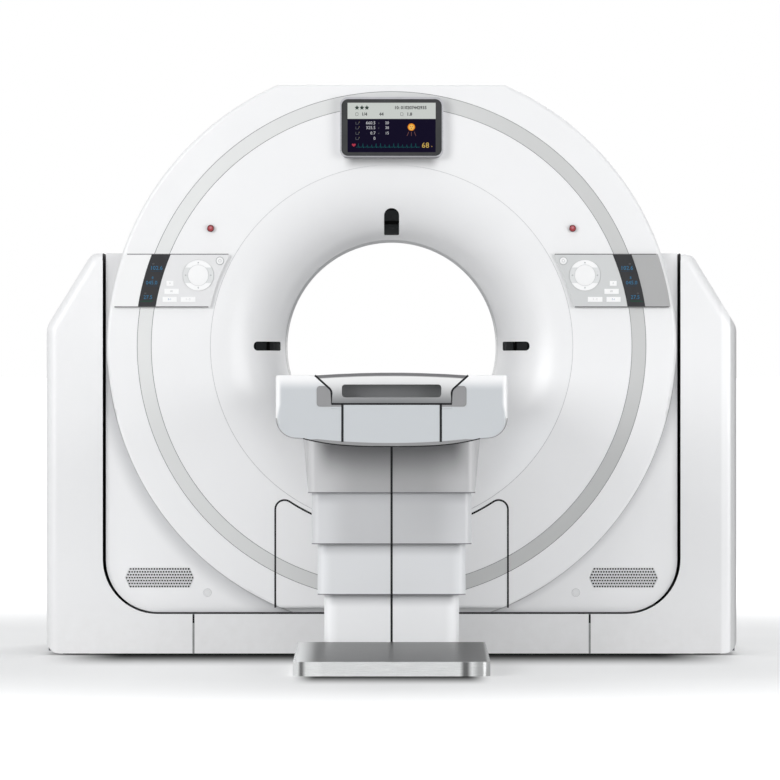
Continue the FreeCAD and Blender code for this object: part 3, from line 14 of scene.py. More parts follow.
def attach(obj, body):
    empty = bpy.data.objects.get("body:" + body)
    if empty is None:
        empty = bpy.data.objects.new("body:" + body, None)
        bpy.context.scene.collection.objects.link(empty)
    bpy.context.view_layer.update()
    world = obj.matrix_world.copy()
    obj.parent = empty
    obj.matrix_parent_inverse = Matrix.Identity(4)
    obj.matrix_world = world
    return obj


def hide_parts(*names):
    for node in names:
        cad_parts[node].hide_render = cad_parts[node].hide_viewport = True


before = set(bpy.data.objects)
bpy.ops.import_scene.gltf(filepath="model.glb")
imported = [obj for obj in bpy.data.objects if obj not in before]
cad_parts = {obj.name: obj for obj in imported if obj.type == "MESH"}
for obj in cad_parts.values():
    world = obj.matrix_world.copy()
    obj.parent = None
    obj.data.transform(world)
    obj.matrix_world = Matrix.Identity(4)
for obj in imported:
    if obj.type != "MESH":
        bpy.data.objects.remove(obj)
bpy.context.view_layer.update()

log = logging.getLogger("scanner")
logging.basicConfig(level=logging.INFO, format="%(message)s")

Colour = tuple[float, float, float]
Point = tuple[float, float, float]
Flat = tuple[float, float]
Number = "float | Shade"

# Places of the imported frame, in metres. +X is right seen from the table and +Y runs into the bore.
AXIS_Z = 1.035
FACE_Y = -0.480
SHOULDER_Y = -0.440
STAND_FRONT_Y = -0.460
PILLAR_INNER = 0.967
SKIRT_TOP = 0.138
PANEL_Y = -0.494
TABLE_NEAR_Y = -2.780
TABLE_TOP = 0.938
PAD_CENTRE = (0.646, 1.2712)


# ---------------------------------------------------------------- shader kit

def operator(operation: str, turned: bool = False) -> Callable[..., "Shade"]:
    """Makes a method of Shade that adds one Math node.

    Args:
        operation: the node's operation.
        turned: whether the socket comes after the other value.

    Returns:
        The method.
    """
    def method(shade: "Shade", *others: Number) -> "Shade":
        """Adds the node to the shade's tree."""
        return shade.tree.maths(operation, *((*others, shade) if turned else (shade, *others)))
    return method


class Shade:
    """A shader socket that can be used in Python arithmetic."""

    __add__ = __radd__ = operator("ADD")
    __mul__ = __rmul__ = operator("MULTIPLY")
    __sub__ = operator("SUBTRACT")
    __rsub__ = operator("SUBTRACT", True)
    __truediv__ = operator("DIVIDE")
    __abs__ = operator("ABSOLUTE")
    sine = operator("SINE")
    greatest = operator("MAXIMUM")

    def __init__(self, tree: "ShadeTree", socket: bpy.types.NodeSocket) -> None:
        """Wraps one output socket of a tree."""
        self.tree, self.socket = tree, socket

    def above(self, edge: float, soft: float = 0.0005) -> "Shade":
        """A mask of 1 over an edge, with a step that is soft by half its width on each side."""
        return self.tree.node("ShaderNodeMapRange", {"interpolation_type": "SMOOTHSTEP"},
                              {"Value": self, "From Min": edge - soft, "From Max": edge + soft})

    def below(self, edge: float, soft: float = 0.0005) -> "Shade":
        """A mask of 1 under an edge."""
        return 1 - self.above(edge, soft)

    def between(self, low: float, high: float, soft: float = 0.0005) -> "Shade":
        """A mask of 1 between two edges."""
        return self.above(low, soft) * self.below(high, soft)


class ShadeTree:
    """One material's node tree, built by name."""

    def __init__(self, name: str) -> None:
        """Makes an empty material with a Principled shader.

        Args:
            name: the material's name.
        """
        self.material = bpy.data.materials.new(name)
        self.material.use_nodes = True
        self.nodes, self.links = self.material.node_tree.nodes, self.material.node_tree.links
        self.nodes.clear()
        self.output = self.nodes.new("ShaderNodeOutputMaterial")
        self.shader = self.nodes.new("ShaderNodeBsdfPrincipled")
        self.links.new(self.shader.outputs[0], self.output.inputs["Surface"])

    def node(self, kind: str, settings: dict | None = None, values: dict | None = None,
             output: int | str = 0) -> Shade:
        """Adds a node.

        Args:
            kind: the node's type.
            settings: its properties, which are set first.
            values: a number, colour, vector or socket for each input, by name or index.
            output: the output that is wanted.

        Returns:
            The wrapped output socket.
        """
        made = self.nodes.new(kind)
        for name, value in (settings or {}).items():
            setattr(made, name, value)
        for name, value in (values or {}).items():
            self.feed(made.inputs[name], value)
        return Shade(self, made.outputs[output])

    def feed(self, socket: bpy.types.NodeSocket, value: object) -> None:
        """Links a socket to an input, or sets the input's own value.

        Args:
            socket: the input.
            value: a Shade, a number, a colour or a vector.
        """
        if isinstance(value, Shade):
            self.links.new(value.socket, socket)
        elif isinstance(value, tuple) and socket.type == "RGBA":
            socket.default_value = (*value, 1.0)
        else:
            socket.default_value = value

    def maths(self, operation: str, *values: Number) -> Shade:
        """Adds a Math node."""
        return self.node("ShaderNodeMath", {"operation": operation}, dict(enumerate(values)))

    def place(self) -> Shade:
        """The point on the piece, in metres from the frame's origin."""
        return self.node("ShaderNodeTexCoord", output="Object")

    def axes(self) -> tuple[Shade, ...]:
        """The point's x, y and z."""
        sockets = self.node("ShaderNodeSeparateXYZ", values={0: self.place()}).socket.node.outputs
        return tuple(Shade(self, sockets[index]) for index in range(3))

    def away(self, across: Shade, up: Shade) -> Shade:
        """The distance that two offsets make together."""
        return self.maths("SQRT", across * across + up * up)

    def radius(self) -> Shade:
        """How far the point is from the bore's axis."""
        x, _, z = self.axes()
        return self.away(x, z - AXIS_Z)

    def noise(self, scale: float, detail: float = 2.0, stretch: Point = (1.0, 1.0, 1.0)) -> Shade:
        """Noise near 0.5 with so many waves to a metre and octaves, its waves closer along an axis by a factor."""
        spot = self.node("ShaderNodeMapping", values={"Vector": self.place(), "Scale": stretch})
        return self.node("ShaderNodeTexNoise", values={"Vector": spot, "Scale": scale, "Detail": detail})

    def blend(self, factor: Number, first: object, second: object) -> Shade:
        """Mixes two colours: the first at factor 0 and the second at 1."""
        return self.node("ShaderNodeMix", {"data_type": "RGBA"}, {0: factor, 6: first, 7: second}, 2)

    def bump(self, height: Shade, strength: float, distance: float) -> None:
        """Feeds a height from 0 to 1 to the shader's normal, as a relief of a distance in metres."""
        relief = self.node("ShaderNodeBump", values={"Strength": strength, "Distance": distance, "Height": height})
        self.feed(self.shader.inputs["Normal"], relief)

    def set(self, **values: object) -> None:
        """Sets the shader's own sockets, with underscores for spaces in their names."""
        for name, value in values.items():
            self.feed(self.shader.inputs[name.replace("_", " ")], value)


def tinted(colour: Colour, factor: float) -> Colour:
    """A colour made lighter or darker by a factor."""
    return tuple(min(1.0, part * factor) for part in colour)


# ---------------------------------------------------------------- finishes

@dataclass(frozen=True)
class Finish:
    """A surface finish: its material's name, its main colour, linear, and its mean roughness."""

    name: str
    colour: Colour
    roughness: float = 0.4

    def dress(self, tree: ShadeTree) -> None:
        """Sets the shader's sockets; each kind of finish does this its own way."""
        raise NotImplementedError

    def tint(self, factor: float) -> Colour:
        """The main colour made lighter or darker by a factor."""
        return tinted(self.colour, factor)

    def mottled(self, tree: ShadeTree, mask: Number, dark: float, light: float) -> Shade:
        """The main colour between a darker and a lighter shade of itself."""
        return tree.blend(mask, self.tint(dark), self.tint(light))

    def rough(self, mottle: Shade, share: float) -> Shade:
        """A roughness that follows a mottling by a share."""
        return self.roughness + (mottle - 0.5) * share

    def material(self) -> bpy.types.Material:
        """Gives the finish's material, made the first time it is asked for.

        Returns:
            The material.
        """
        found = bpy.data.materials.get(self.name)
        if found is None:
            tree = ShadeTree(self.name)
            self.dress(tree)
            found = tree.material
        return found


@dataclass(frozen=True)
class MouldedCover(Finish):
    """White moulded cover with a fine orange-peel grain, mottling and a little dust near the floor; where it has a gap
    colour, painted shade on the returns that face the tilting body and painted light and shade along the right
    pillar's outer edge.

    Attributes:
        grain: strength of the orange-peel relief.
        speckle: how much the grain changes the roughness.
        coat_roughness: the clear coat's roughness.
        dust_height: how far up from the floor the dust shows.
        gap: the colour of the painted shade on the returns that face the tilting body, if they have one.
    """

    grain: float = 0.05
    speckle: float = 0.05
    coat_roughness: float = 0.36
    dust_height: float = 0.0
    gap: Colour | None = None

    def graded(self, tree: ShadeTree, colour: Shade) -> tuple[Shade, Number]:
        """Adds the dust, a painted highlight and painted shade along the right pillar's outer edge, and the painted
        shade on the returns.

        Args:
            tree: the material's tree.
            colour: the mottled white.

        Returns:
            The colour and what is added to the roughness.
        """
        extra = 0.0
        if self.dust_height > 0:
            _, _, z = tree.axes()
            dust = z.below(self.dust_height * 0.5, self.dust_height * 0.5) * tree.noise(38.0, 4.0)
            colour = tree.blend(dust * 0.22, colour, (0.52, 0.50, 0.47))
            extra = dust * 0.2
        if self.gap is not None:
            x, y, z = tree.axes()
            # Painted light and shade: a paler band and two darker strips along the right pillar's outer edge, for how
            # the light falls across it.
            front = y.below(-0.400, 0.004)
            for band, factor in ((x.between(1.104, 1.133, 0.006), 1.10), (x.above(1.134, 0.003), 0.73),
                                 (x.above(1.149, 0.005), 0.56)):
                colour = tree.blend(band * front, colour, self.tint(factor))
            # Painted shade: the returns that face the tilting body take the dark gap colour, standing in for the shade
            # in the clearance gap.
            painted_gap_shade = abs(y).below(-STAND_FRONT_Y - 0.002) * abs(x).below(PILLAR_INNER + 0.001)
            painted_gap_shade = painted_gap_shade * z.above(SKIRT_TOP - 0.001)
            colour = tree.blend(painted_gap_shade, colour, self.gap)
            extra = painted_gap_shade * 0.4 + extra
        return colour, extra

    def dress(self, tree: ShadeTree) -> None:
        """Mottles the white, grades it and adds the grain.

        Args:
            tree: the material's tree.
        """
        clouds, specks = tree.noise(2.3, 3.0), tree.noise(420.0, 2.0)
        mottled = tree.blend(clouds.between(0.35, 0.65, 0.2), self.colour, self.tint(0.975))
        colour, extra = self.graded(tree, mottled)
        rough = self.rough(clouds, 0.12) + extra
        if self.speckle > 0:
            rough = rough + (specks - 0.5) * self.speckle
        tree.set(Base_Color=colour, Roughness=rough, Coat_Weight=0.15, Coat_Roughness=self.coat_roughness)
        tree.bump(specks, self.grain, 0.0004)


@dataclass(frozen=True)
class BodyCover(MouldedCover):
    """White cover of the tilting body: painted light makes it a little paler low down, and a painted shadow lies under
    the display.
    """

    def painted_low_light(self, tree: ShadeTree, z: Shade, colour: Shade) -> Shade:
        """The colour with its lower half painted paler, as painted light."""
        return tree.blend(z.below(AXIS_Z - 0.20, 0.30), colour, self.tint(1.07))

    def painted_display_shadow(self, tree: ShadeTree, x: Shade, z: Shade, colour: Shade) -> Shade:
        """The colour with a painted soft shadow under the display's housing."""
        shade = z.above(1.6385, 0.0185) * z.below(1.670) * abs(x).below(0.146, 0.020)
        return tree.blend(shade * 0.66, colour, (0.20, 0.20, 0.205))


@dataclass(frozen=True)
class DiscCover(BodyCover):
    """White cover that carries the disc: a painted dark line at the disc's edge, with a painted soft shadow outside it
    and painted shade beside the panels.
    """

    def graded(self, tree: ShadeTree, colour: Shade) -> tuple[Shade, Number]:
        """Paints the edge line and its soft shadow below the axis, the wider shadow at the left, and shade beside the
        panels, as the covers' grading does.

        Args:
            tree: the material's tree.
            colour: the mottled white.

        Returns:
            The colour and what is added to the roughness.
        """
        x, y, z = tree.axes()
        colour = self.painted_low_light(tree, z, colour)
        radius, front, left = tree.radius(), y.below(-0.4385, 0.0005), x.below(0.0, 0.05)
        low = z.below(AXIS_Z - 0.06, 0.04) * front
        wide = radius.below(0.985, 0.032) * left * 0.36
        slim = radius.below(0.966, 0.015) * (1 - left) * 0.26
        beside = radius.above(0.9485, 0.0008) * z.between(AXIS_Z - 0.08, 1.350, 0.02) * front
        # Painted shade: a soft shadow outside the disc's edge below the axis, a dark line at the edge, and shade
        # beside the panels.
        for mask, shade in ((radius.above(0.9532, 0.0004) * low * (wide + slim), (0.30, 0.31, 0.33)),
                            (radius.between(0.9500, 0.9534, 0.0004) * low * 0.62, (0.20, 0.20, 0.21)),
                            (beside * (left * 0.13 + 0.03), (0.30, 0.30, 0.31))):
            colour = tree.blend(mask, colour, shade)
        return self.painted_display_shadow(tree, x, z, colour), 0.0


@dataclass(frozen=True)
class FunnelCover(BodyCover):
    """The funnel's white cover, with painted light at its lower right, painted shade at its upper left, and a grey
    lining in the bore that is partly its own colour and partly painted shade, darker at the left.
    """

    speckle: float = 0.0

    def graded(self, tree: ShadeTree, colour: Shade) -> tuple[Shade, Number]:
        """Paints light on the lower right and shade on the upper left, and finds the lining, partly painted shade, by
        its distance from the axis.

        Args:
            tree: the material's tree.
            colour: the mottled white.

        Returns:
            The colour and what is added to the roughness.
        """
        x, _, z = tree.axes()
        colour = self.painted_low_light(tree, z, colour)
        radius = tree.radius()
        turned = ((z - AXIS_Z) * 0.82 - x * 0.57) * (1 / 0.37)
        # Painted light on the lower right and painted shade on the upper left; the lining's grey is partly its own
        # colour and partly painted shade.
        for mask, shade in ((x.above(0.34, 0.10) * z.below(0.79, 0.07), (0.985, 0.99, 1.0)),
                            (radius.below(0.382, 0.021) * turned.above(0.80, 0.18) * 0.36, (0.30, 0.30, 0.31)),
                            (radius.below(0.3606, 0.0004) * (x.below(0.12, 0.24) * 0.36 + 0.30),
                             (0.16, 0.165, 0.17))):
            colour = tree.blend(mask, colour, shade)
        return self.painted_display_shadow(tree, x, z, colour), 0.0


@dataclass(frozen=True)
class TableCover(MouldedCover):
    """The table's white cover, whose flat near end is a light grey inside a white edge.

    Attributes:
        end: the near end's grey, painted shade.
        half_width: half the table's width.
        margin: the width of the white edge round the grey.
    """

    speckle: float = 0.0
    coat_roughness: float = 0.03
    end: Colour = (0.520, 0.541, 0.560)
    half_width: float = 0.343
    margin: float = 0.012

    def graded(self, tree: ShadeTree, colour: Shade) -> tuple[Shade, Number]:
        """Paints the near end's grey shade, pale at its top and even below.

        Args:
            tree: the material's tree.
            colour: the mottled white.

        Returns:
            The colour and what is added to the roughness.
        """
        x, y, z = tree.axes()
        # Painted shade: the flat near end is grey inside its white edge, standing in for less light on it.
        white = z.above(0.830, 0.030) * self.margin
        near = y.below(TABLE_NEAR_Y + 0.0035, 0.003) * (abs(x) + white).below(self.half_width - 0.001, 0.006)
        return tree.blend(near * z.below(TABLE_TOP - 0.026, 0.020), colour, self.end), 0.0


@dataclass(frozen=True)
class ColumnCover(MouldedCover):
    """A column stage's cover, with painted light along its upright edges and painted shade at its lip and under the
    stage or table above.

    Attributes:
        half_width: half the stage's width.
        lip: z of its lower edge.
        shelter: z where the stage or table above starts.
        depth: half the height of the painted shade under it.
        soft: half the width over which the painted shade fades towards the edges.
        shade: the colour there.
        edge_width: the distance from the edge to the middle of the paler edge's fade.
        painted_edge_light: how much paler the edge is painted, as painted light.
    """

    speckle: float = 0.0
    coat_roughness: float = 0.03
    half_width: float = 0.218
    lip: float = 0.0
    shelter: float = 0.229
    depth: float = 0.022
    soft: float = 0.016
    shade: Colour = (0.48, 0.485, 0.50)
    edge_width: float = 0.034
    painted_edge_light: float = 1.10

    def graded(self, tree: ShadeTree, colour: Shade) -> tuple[Shade, Number]:
        """Paints the stage's light and shade: paler towards its edges and dark under the stage above and at its lip.

        Args:
            tree: the material's tree.
            colour: the mottled white.

        Returns:
            The colour and what is added to the roughness.
        """
        x, _, z = tree.axes()
        # Painted light along the upright edges, painted shade under the stage or table above, and a painted dark line
        # at the lip.
        inner = abs(x).below(self.half_width - self.edge_width, self.edge_width - 0.018)
        colour = tree.blend(inner, self.tint(self.painted_edge_light), colour)
        dark = z.above(self.shelter - self.depth, self.depth)
        dark = dark * abs(x).below(self.half_width - self.soft - 0.002, self.soft)
        colour = tree.blend(dark, colour, self.shade)
        return tree.blend(z.below(self.lip + 0.0028, 0.0010), colour, (0.16, 0.16, 0.17)), 0.0


@dataclass(frozen=True)
class SatinPlastic(Finish):
    """Plain coloured plastic, with the strength of its fine grain and the weight of its clear coat."""

    grain: float = 0.06
    coat: float = 0.1

    def graded(self, tree: ShadeTree) -> tuple[Shade, Shade, Shade]:
        """The mottled colour, the mottling itself and the grain; other plastics have their own."""
        clouds = tree.noise(9.0, 3.0)
        return self.mottled(tree, clouds, 0.95, 1.04), clouds, tree.noise(900.0, 2.0)

    def dress(self, tree: ShadeTree) -> None:
        """Sets the graded colour, a roughness that follows the mottling, and the grain.

        Args:
            tree: the material's tree.
        """
        colour, mottle, grain = self.graded(tree)
        tree.set(Base_Color=colour, Roughness=self.rough(mottle, 0.15), Coat_Weight=self.coat)
        tree.bump(grain, self.grain, 0.0003)


@dataclass(frozen=True)
class StopCap(SatinPlastic):
    """A red stop button: a darker rim and a highlight on its dome, both painted light and shade.

    Attributes:
        centre: x and z of the right button's middle.
        radius: where the rim starts.
    """

    centre: Flat = (0.605, 1.428)
    radius: float = 0.0082

    def graded(self, tree: ShadeTree) -> tuple[Shade, Shade, Shade]:
        """Paints shade on the rim and a highlight on the dome by the distance from the middle.

        Args:
            tree: the material's tree.

        Returns:
            The colour, the mottling and the grain.
        """
        x, _, z = tree.axes()
        clouds = tree.noise(60.0, 3.0)
        across, up = abs(x) - self.centre[0], z - self.centre[1]
        colour = self.mottled(tree, clouds, 0.95, 1.05)
        # Painted shade on the rim and a painted highlight on the dome.
        colour = tree.blend(tree.away(across, up).above(self.radius, 0.0012), colour, self.tint(0.36))
        painted_highlight = tree.away(across, up - 0.0025).below(0.0040, 0.0022)
        return tree.blend(painted_highlight * 0.6, colour, (0.62, 0.26, 0.30)), clouds, clouds


@dataclass(frozen=True)
class TrimPlastic(SatinPlastic):
    """The trim ring's satin plastic, painted from pale at the left to grey at the right as painted light and shade."""

    def graded(self, tree: ShadeTree) -> tuple[Shade, Shade, Shade]:
        """Paints light and shade across X.

        Args:
            tree: the material's tree.

        Returns:
            The colour, the mottling and the grain.
        """
        clouds = tree.noise(9.0, 3.0)
        # Painted light at the left and painted shade at the right.
        across = self.mottled(tree, tree.axes()[0].above(0.0, 0.75), 1.10, 0.82)
        return tree.blend(clouds * 0.2, across, self.colour), clouds, tree.noise(900.0, 2.0)


@dataclass(frozen=True)
class CradleSkin(SatinPlastic):
    """The cradle's grey skin, whose near end is painted from pale at its crown to dark at its foot, as painted light
    and shade.

    Attributes:
        crown: the near end's painted light at its upper edge.
        foot: its painted shade at its lower edge.
        rim: the dark line along its top.
    """

    crown: Colour = (0.78, 0.78, 0.78)
    foot: Colour = (0.185, 0.19, 0.195)
    rim: Colour = (0.15, 0.15, 0.155)

    def graded(self, tree: ShadeTree) -> tuple[Shade, Shade, Shade]:
        """Paints light and shade on the near end by height, and paints shade in the handle's recess.

        Args:
            tree: the material's tree.

        Returns:
            The colour, the mottling and the grain.
        """
        x, y, z = tree.axes()
        arch = z + x * x * 0.158
        lines = tree.noise(9.0, 4.0, (1.0, 40.0, 40.0))
        # Painted light and shade: pale at the near end's crown to dark at its foot.
        end = tree.blend(arch.above(0.896, 0.044), self.foot, self.crown)
        end = tree.blend(arch.above(0.9360, 0.0022), end, self.rim)
        # Painted shade in the handle's recess.
        inside = y.between(TABLE_NEAR_Y + 0.009, TABLE_NEAR_Y + 0.056, 0.003) * abs(x).below(0.150)
        inside = inside * z.between(0.870, 0.914)
        plain = tree.blend(inside, self.mottled(tree, lines, 0.95, 1.04), self.tint(0.34))
        near = y.below(TABLE_NEAR_Y + 0.0075, 0.001)
        return tree.blend(near, plain, end), lines, tree.noise(900.0, 2.0)


@dataclass(frozen=True)
class GlossBlack(Finish):
    """Dark gloss plastic or tinted glass, with smears that change its roughness."""

    smear: float = 0.12

    def graded(self, tree: ShadeTree, smears: Shade) -> Shade:
        """The colour with a faint cloud."""
        return tree.blend(smears, self.colour, self.tint(1.5))

    def dress(self, tree: ShadeTree) -> None:
        """Adds finger smears to the roughness.

        Args:
            tree: the material's tree.
        """
        smears = tree.noise(26.0, 4.0, (1.0, 1.0, 0.45))
        tree.set(Base_Color=self.graded(tree, smears), Specular_IOR_Level=0.02,
                 Roughness=self.roughness + smears.above(0.5, 0.15) * self.smear)


@dataclass(frozen=True)
class WindowGlass(GlossBlack):
    """A laser window: dark grey glass with black slots across it."""

    def graded(self, tree: ShadeTree, smears: Shade) -> Shade:
        """Finds the slots by their distance from the axis.

        Args:
            tree: the material's tree.
            smears: the finger smears.

        Returns:
            The colour.
        """
        radius = tree.radius()
        slots = radius.between(0.4090, 0.4210, 0.0020) + radius.between(0.4550, 0.4590, 0.0015)
        return tree.blend(slots, tree.blend(smears, self.colour, self.tint(1.25)), (0.0015, 0.0015, 0.0015))


@dataclass(frozen=True)
class PanelPrint(Finish):
    """The control panels' printed sheet: its outer field, its inner field and the white flat keys; the left and right
    panels' fields differ in grey as painted light and shade.

    Attributes:
        inner_right: the inner field's colour on the right panel.
        outer_left: the outer field's colour on the left panel.
        outer_right: the outer field's colour on the right panel.
        key: the flat keys' colour.
        border: the radius between the fields.
    """

    inner_right: Colour = (0.60, 0.61, 0.61)
    outer_left: Colour = (0.84, 0.84, 0.84)
    outer_right: Colour = (0.40, 0.40, 0.40)
    key: Colour = (0.90, 0.90, 0.90)
    border: float = 0.828

    def dress(self, tree: ShadeTree) -> None:
        """Picks the field's colour by radius and by side, the side's difference being painted light and shade, and
        whitens the raised keys.

        Args:
            tree: the material's tree.
        """
        x, y, _ = tree.axes()
        # Painted light and shade: the same fields take different greys on the left and right panels.
        right = x.above(0.0, 0.01)
        colour = tree.blend(tree.radius().above(self.border), tree.blend(right, self.colour, self.inner_right),
                            tree.blend(right, self.outer_left, self.outer_right))
        colour = tree.blend(y.below(-0.49475, 0.0001), colour, self.key)
        tree.set(Base_Color=colour, Roughness=self.rough(tree.noise(9.0, 3.0), 0.12), Coat_Weight=0.1)
        tree.bump(tree.noise(900.0, 2.0), 0.05, 0.0003)


@dataclass(frozen=True)
class PadPrint(Finish):
    """A four-way pad: white above and below, light grey at both sides.

    Attributes:
        side: the colour of its sides.
        chord: how far above and below the centre the white starts.
    """

    side: Colour = (0.70, 0.71, 0.71)
    chord: float = 0.026

    def dress(self, tree: ShadeTree) -> None:
        """Splits the ring with two level chords.

        Args:
            tree: the material's tree.
        """
        x, _, z = tree.axes()
        across, up = abs(x) - PAD_CENTRE[0], z - PAD_CENTRE[1]
        groove = tree.away(across, up).between(0.0340, 0.0355, 0.0004)
        colour = tree.blend(abs(up).above(self.chord), self.side, self.colour)
        colour = tree.blend(groove * 0.25, colour, (0.3, 0.3, 0.3))
        tree.set(Base_Color=colour, Roughness=self.rough(tree.noise(40.0, 3.0), 0.12), Coat_Weight=0.1)
        tree.bump(1.0 - groove, 0.3, 0.0004)


@dataclass(frozen=True)
class BrushedMetal(Finish):
    """Metal brushed along one axis.

    Attributes:
        stretch: waves along each axis, few along the brushing.
        depth: strength of the brush lines' relief.
    """

    stretch: Point = (2.0, 60.0, 60.0)
    depth: float = 0.12

    def graded(self, tree: ShadeTree, lines: Shade) -> tuple[Shade, Shade]:
        """The colour and the roughness, from the brush lines."""
        raise NotImplementedError

    def dress(self, tree: ShadeTree) -> None:
        """Draws long scratches in the colour, the roughness and the relief.

        Args:
            tree: the material's tree.
        """
        lines = tree.noise(14.0, 5.0, self.stretch)
        colour, rough = self.graded(tree, lines)
        tree.set(Base_Color=colour, Metallic=1.0, Roughness=rough)
        tree.bump(lines, self.depth, 0.0003)


@dataclass(frozen=True)
class HousingMetal(BrushedMetal):
    """The display housing's brushed metal, with painted shade along its lower edge up to its foot's height."""

    foot: float = 1.6670

    def graded(self, tree: ShadeTree, lines: Shade) -> tuple[Shade, Shade]:
        """Paints shade on the lower edge in front of the disc.

        Args:
            tree: the material's tree.
            lines: the brush lines.

        Returns:
            The colour and the roughness.
        """
        _, y, z = tree.axes()
        colour = self.mottled(tree, lines, 0.82, 1.12)
        # Painted shade along the lower edge.
        colour = tree.blend(z.below(self.foot, 0.0015) * y.below(-0.46), colour, self.tint(0.45))
        return colour, self.rough(lines, 0.2)


@dataclass(frozen=True)
class FootMetal(BrushedMetal):
    """The table's foot: a top field painted darker and made rougher inside bright edges, with painted reflections and
    shade in bands.

    Attributes:
        top: the top's colour.
        half_width: half the width of the dark field at the front.
        front: y where the dark field starts.
    """

    top: Colour = (0.145, 0.145, 0.145)
    half_width: float = 0.298
    front: float = -1.832

    def graded(self, tree: ShadeTree, lines: Shade) -> tuple[Shade, Shade]:
        """Paints bright and dark reflection bands and a darker right end, and darkens the field inside the edges.

        Args:
            tree: the material's tree.
            lines: the brush lines.

        Returns:
            The colour and the roughness.
        """
        x, y, z = tree.axes()
        height = (y + 1.843) * 0.0467 + 0.0375
        field = (z - height).above(0.0, 0.003) * abs(x).below(self.half_width, 0.006) * y.above(self.front, 0.003)
        colour = self.mottled(tree, lines, 0.90, 1.08)
        # Painted reflections and shade: bright bands at the left, dark strips and a darker right end.
        for mask, factor in ((x.between(-0.262, -0.222, 0.012) + x.below(-0.300, 0.004), 1.08),
                             (x.above(0.262, 0.012), 0.56),
                             (x.between(-0.291, -0.274, 0.008) + x.between(0.219, 0.243, 0.009), 0.20)):
            colour = tree.blend(mask, colour, self.tint(factor))
        mottle = lines * 0.5 + tree.noise(3.0, 2.0) * 0.5
        # Painted reflections on the top field: darker and paler streaks and a paler left end.
        dark = tree.blend(mottle, tinted(self.top, 0.85), tinted(self.top, 1.15))
        dark = tree.blend(x.between(0.222, 0.285, 0.014), dark, tinted(self.top, 0.72))
        dark = tree.blend(x.below(-0.262, 0.035), dark, self.tint(1.10))
        return tree.blend(field, colour, dark), self.rough(lines, 0.15) + field * 0.12


@dataclass(frozen=True)
class TurnedMetal(Finish):
    """Metal turned on a lathe about the bore's axis, with so many tool marks to a metre."""

    pitch: float = 700.0

    def dress(self, tree: ShadeTree) -> None:
        """Draws the rings from the distance to the axis.

        Args:
            tree: the material's tree.
        """
        rings = (tree.radius() * self.pitch * math.tau).sine() * 0.5 + 0.5
        clouds = tree.noise(11.0, 3.0)
        colour = self.mottled(tree, rings * 0.5 + clouds * 0.5, 0.8, 1.1)
        tree.set(Base_Color=colour, Metallic=1.0, Roughness=self.rough(clouds, 0.2))
        tree.bump(rings, 0.15, 0.0003)


@dataclass(frozen=True)
class CastSurface(Finish):
    """Cast or powder-coated metal with a pebbled skin.

    Attributes:
        metallic: 1 for bare metal and 0 for paint.
        pebble: waves of the pebbling to a metre.
        depth: strength of the pebbling.
    """

    metallic: float = 0.0
    pebble: float = 260.0
    depth: float = 0.25

    def dress(self, tree: ShadeTree) -> None:
        """Pebbles the surface and darkens its hollows.

        Args:
            tree: the material's tree.
        """
        pebbles, clouds = tree.noise(self.pebble, 3.0), tree.noise(6.0, 3.0)
        colour = self.mottled(tree, pebbles * 0.6 + clouds * 0.4, 0.8, 1.15)
        tree.set(Base_Color=colour, Metallic=self.metallic, Roughness=self.rough(clouds, 0.25))
        tree.bump(pebbles, self.depth, 0.0008)


@dataclass(frozen=True)
class RibbedRubber(Finish):
    """Rubber with a dusty bloom and, where it has any, so many fine ribs across Y to a metre."""

    ribs: float = 0.0

    def dress(self, tree: ShadeTree) -> None:
        """Adds bloom to the colour and the ribs to the relief.

        Args:
            tree: the material's tree.
        """
        bloom, relief = tree.noise(30.0, 4.0), tree.noise(600.0, 2.0)
        if self.ribs > 0:
            relief = relief * 0.2 + (tree.axes()[1] * self.ribs * math.tau).sine() * 0.4
        tree.set(Base_Color=tree.blend(bloom, self.colour, self.tint(1.9)), Roughness=self.rough(bloom, 0.2),
                 Specular_IOR_Level=0.15)
        tree.bump(relief, 0.3, 0.0006)


@dataclass(frozen=True)
class Lamp(Finish):
    """A lit mark on a display, a little uneven as a backlight is."""

    def dress(self, tree: ShadeTree) -> None:
        """Lights the mark with a faint pixel grid in its colour.

        Args:
            tree: the material's tree.
        """
        x, _, z = tree.axes()
        cells = 0.5 + (x * 900.0 * math.tau).sine() * (z * 900.0 * math.tau).sine() * 0.5
        tree.set(Base_Color=(0.002, 0.002, 0.002), Roughness=0.3 + cells * 0.05, Specular_IOR_Level=0.0,
                 Emission_Color=tree.blend(cells, self.tint(0.9), self.colour), Emission_Strength=1.0)


# Finishes of the outside
WHITE = (0.86, 0.86, 0.865)
COVER_WHITE = MouldedCover("cover white", WHITE, 0.38)
DISC_WHITE = DiscCover("disc white", WHITE, 0.38)
# The pillars' and skirts' gap colours are painted shade on the returns that face the tilting body.
PILLAR_WHITE = MouldedCover("pillar white", WHITE, 0.38, dust_height=0.25, gap=(0.006, 0.006, 0.007))
SKIRT_WHITE = MouldedCover("skirt white", WHITE, 0.40, dust_height=0.25, gap=(0.09, 0.09, 0.09))
FUNNEL_WHITE = FunnelCover("funnel white", WHITE, 0.30)
TABLE_WHITE = TableCover("table white", WHITE, 0.32)
TRIM_GREY = TrimPlastic("trim grey", (0.68, 0.685, 0.68), 0.42)
GASKET_BLACK = RibbedRubber("gasket black", (0.012, 0.012, 0.013), 0.6)
WINDOW_BLACK = WindowGlass("window black", (0.017, 0.018, 0.019), 0.16)
CLEAR_RING = SatinPlastic("clear ring", (0.62, 0.64, 0.65), 0.15, coat=0.6)
RIM_SILVER = HousingMetal("rim silver", (0.58, 0.58, 0.61), 0.30, (1.5, 40.0, 60.0), 0.06)
SCREEN_DARK = GlossBlack("screen dark", (0.044, 0.045, 0.046), 0.22)
PANEL_GREY = PanelPrint("panel grey", (0.74, 0.74, 0.745), 0.38)
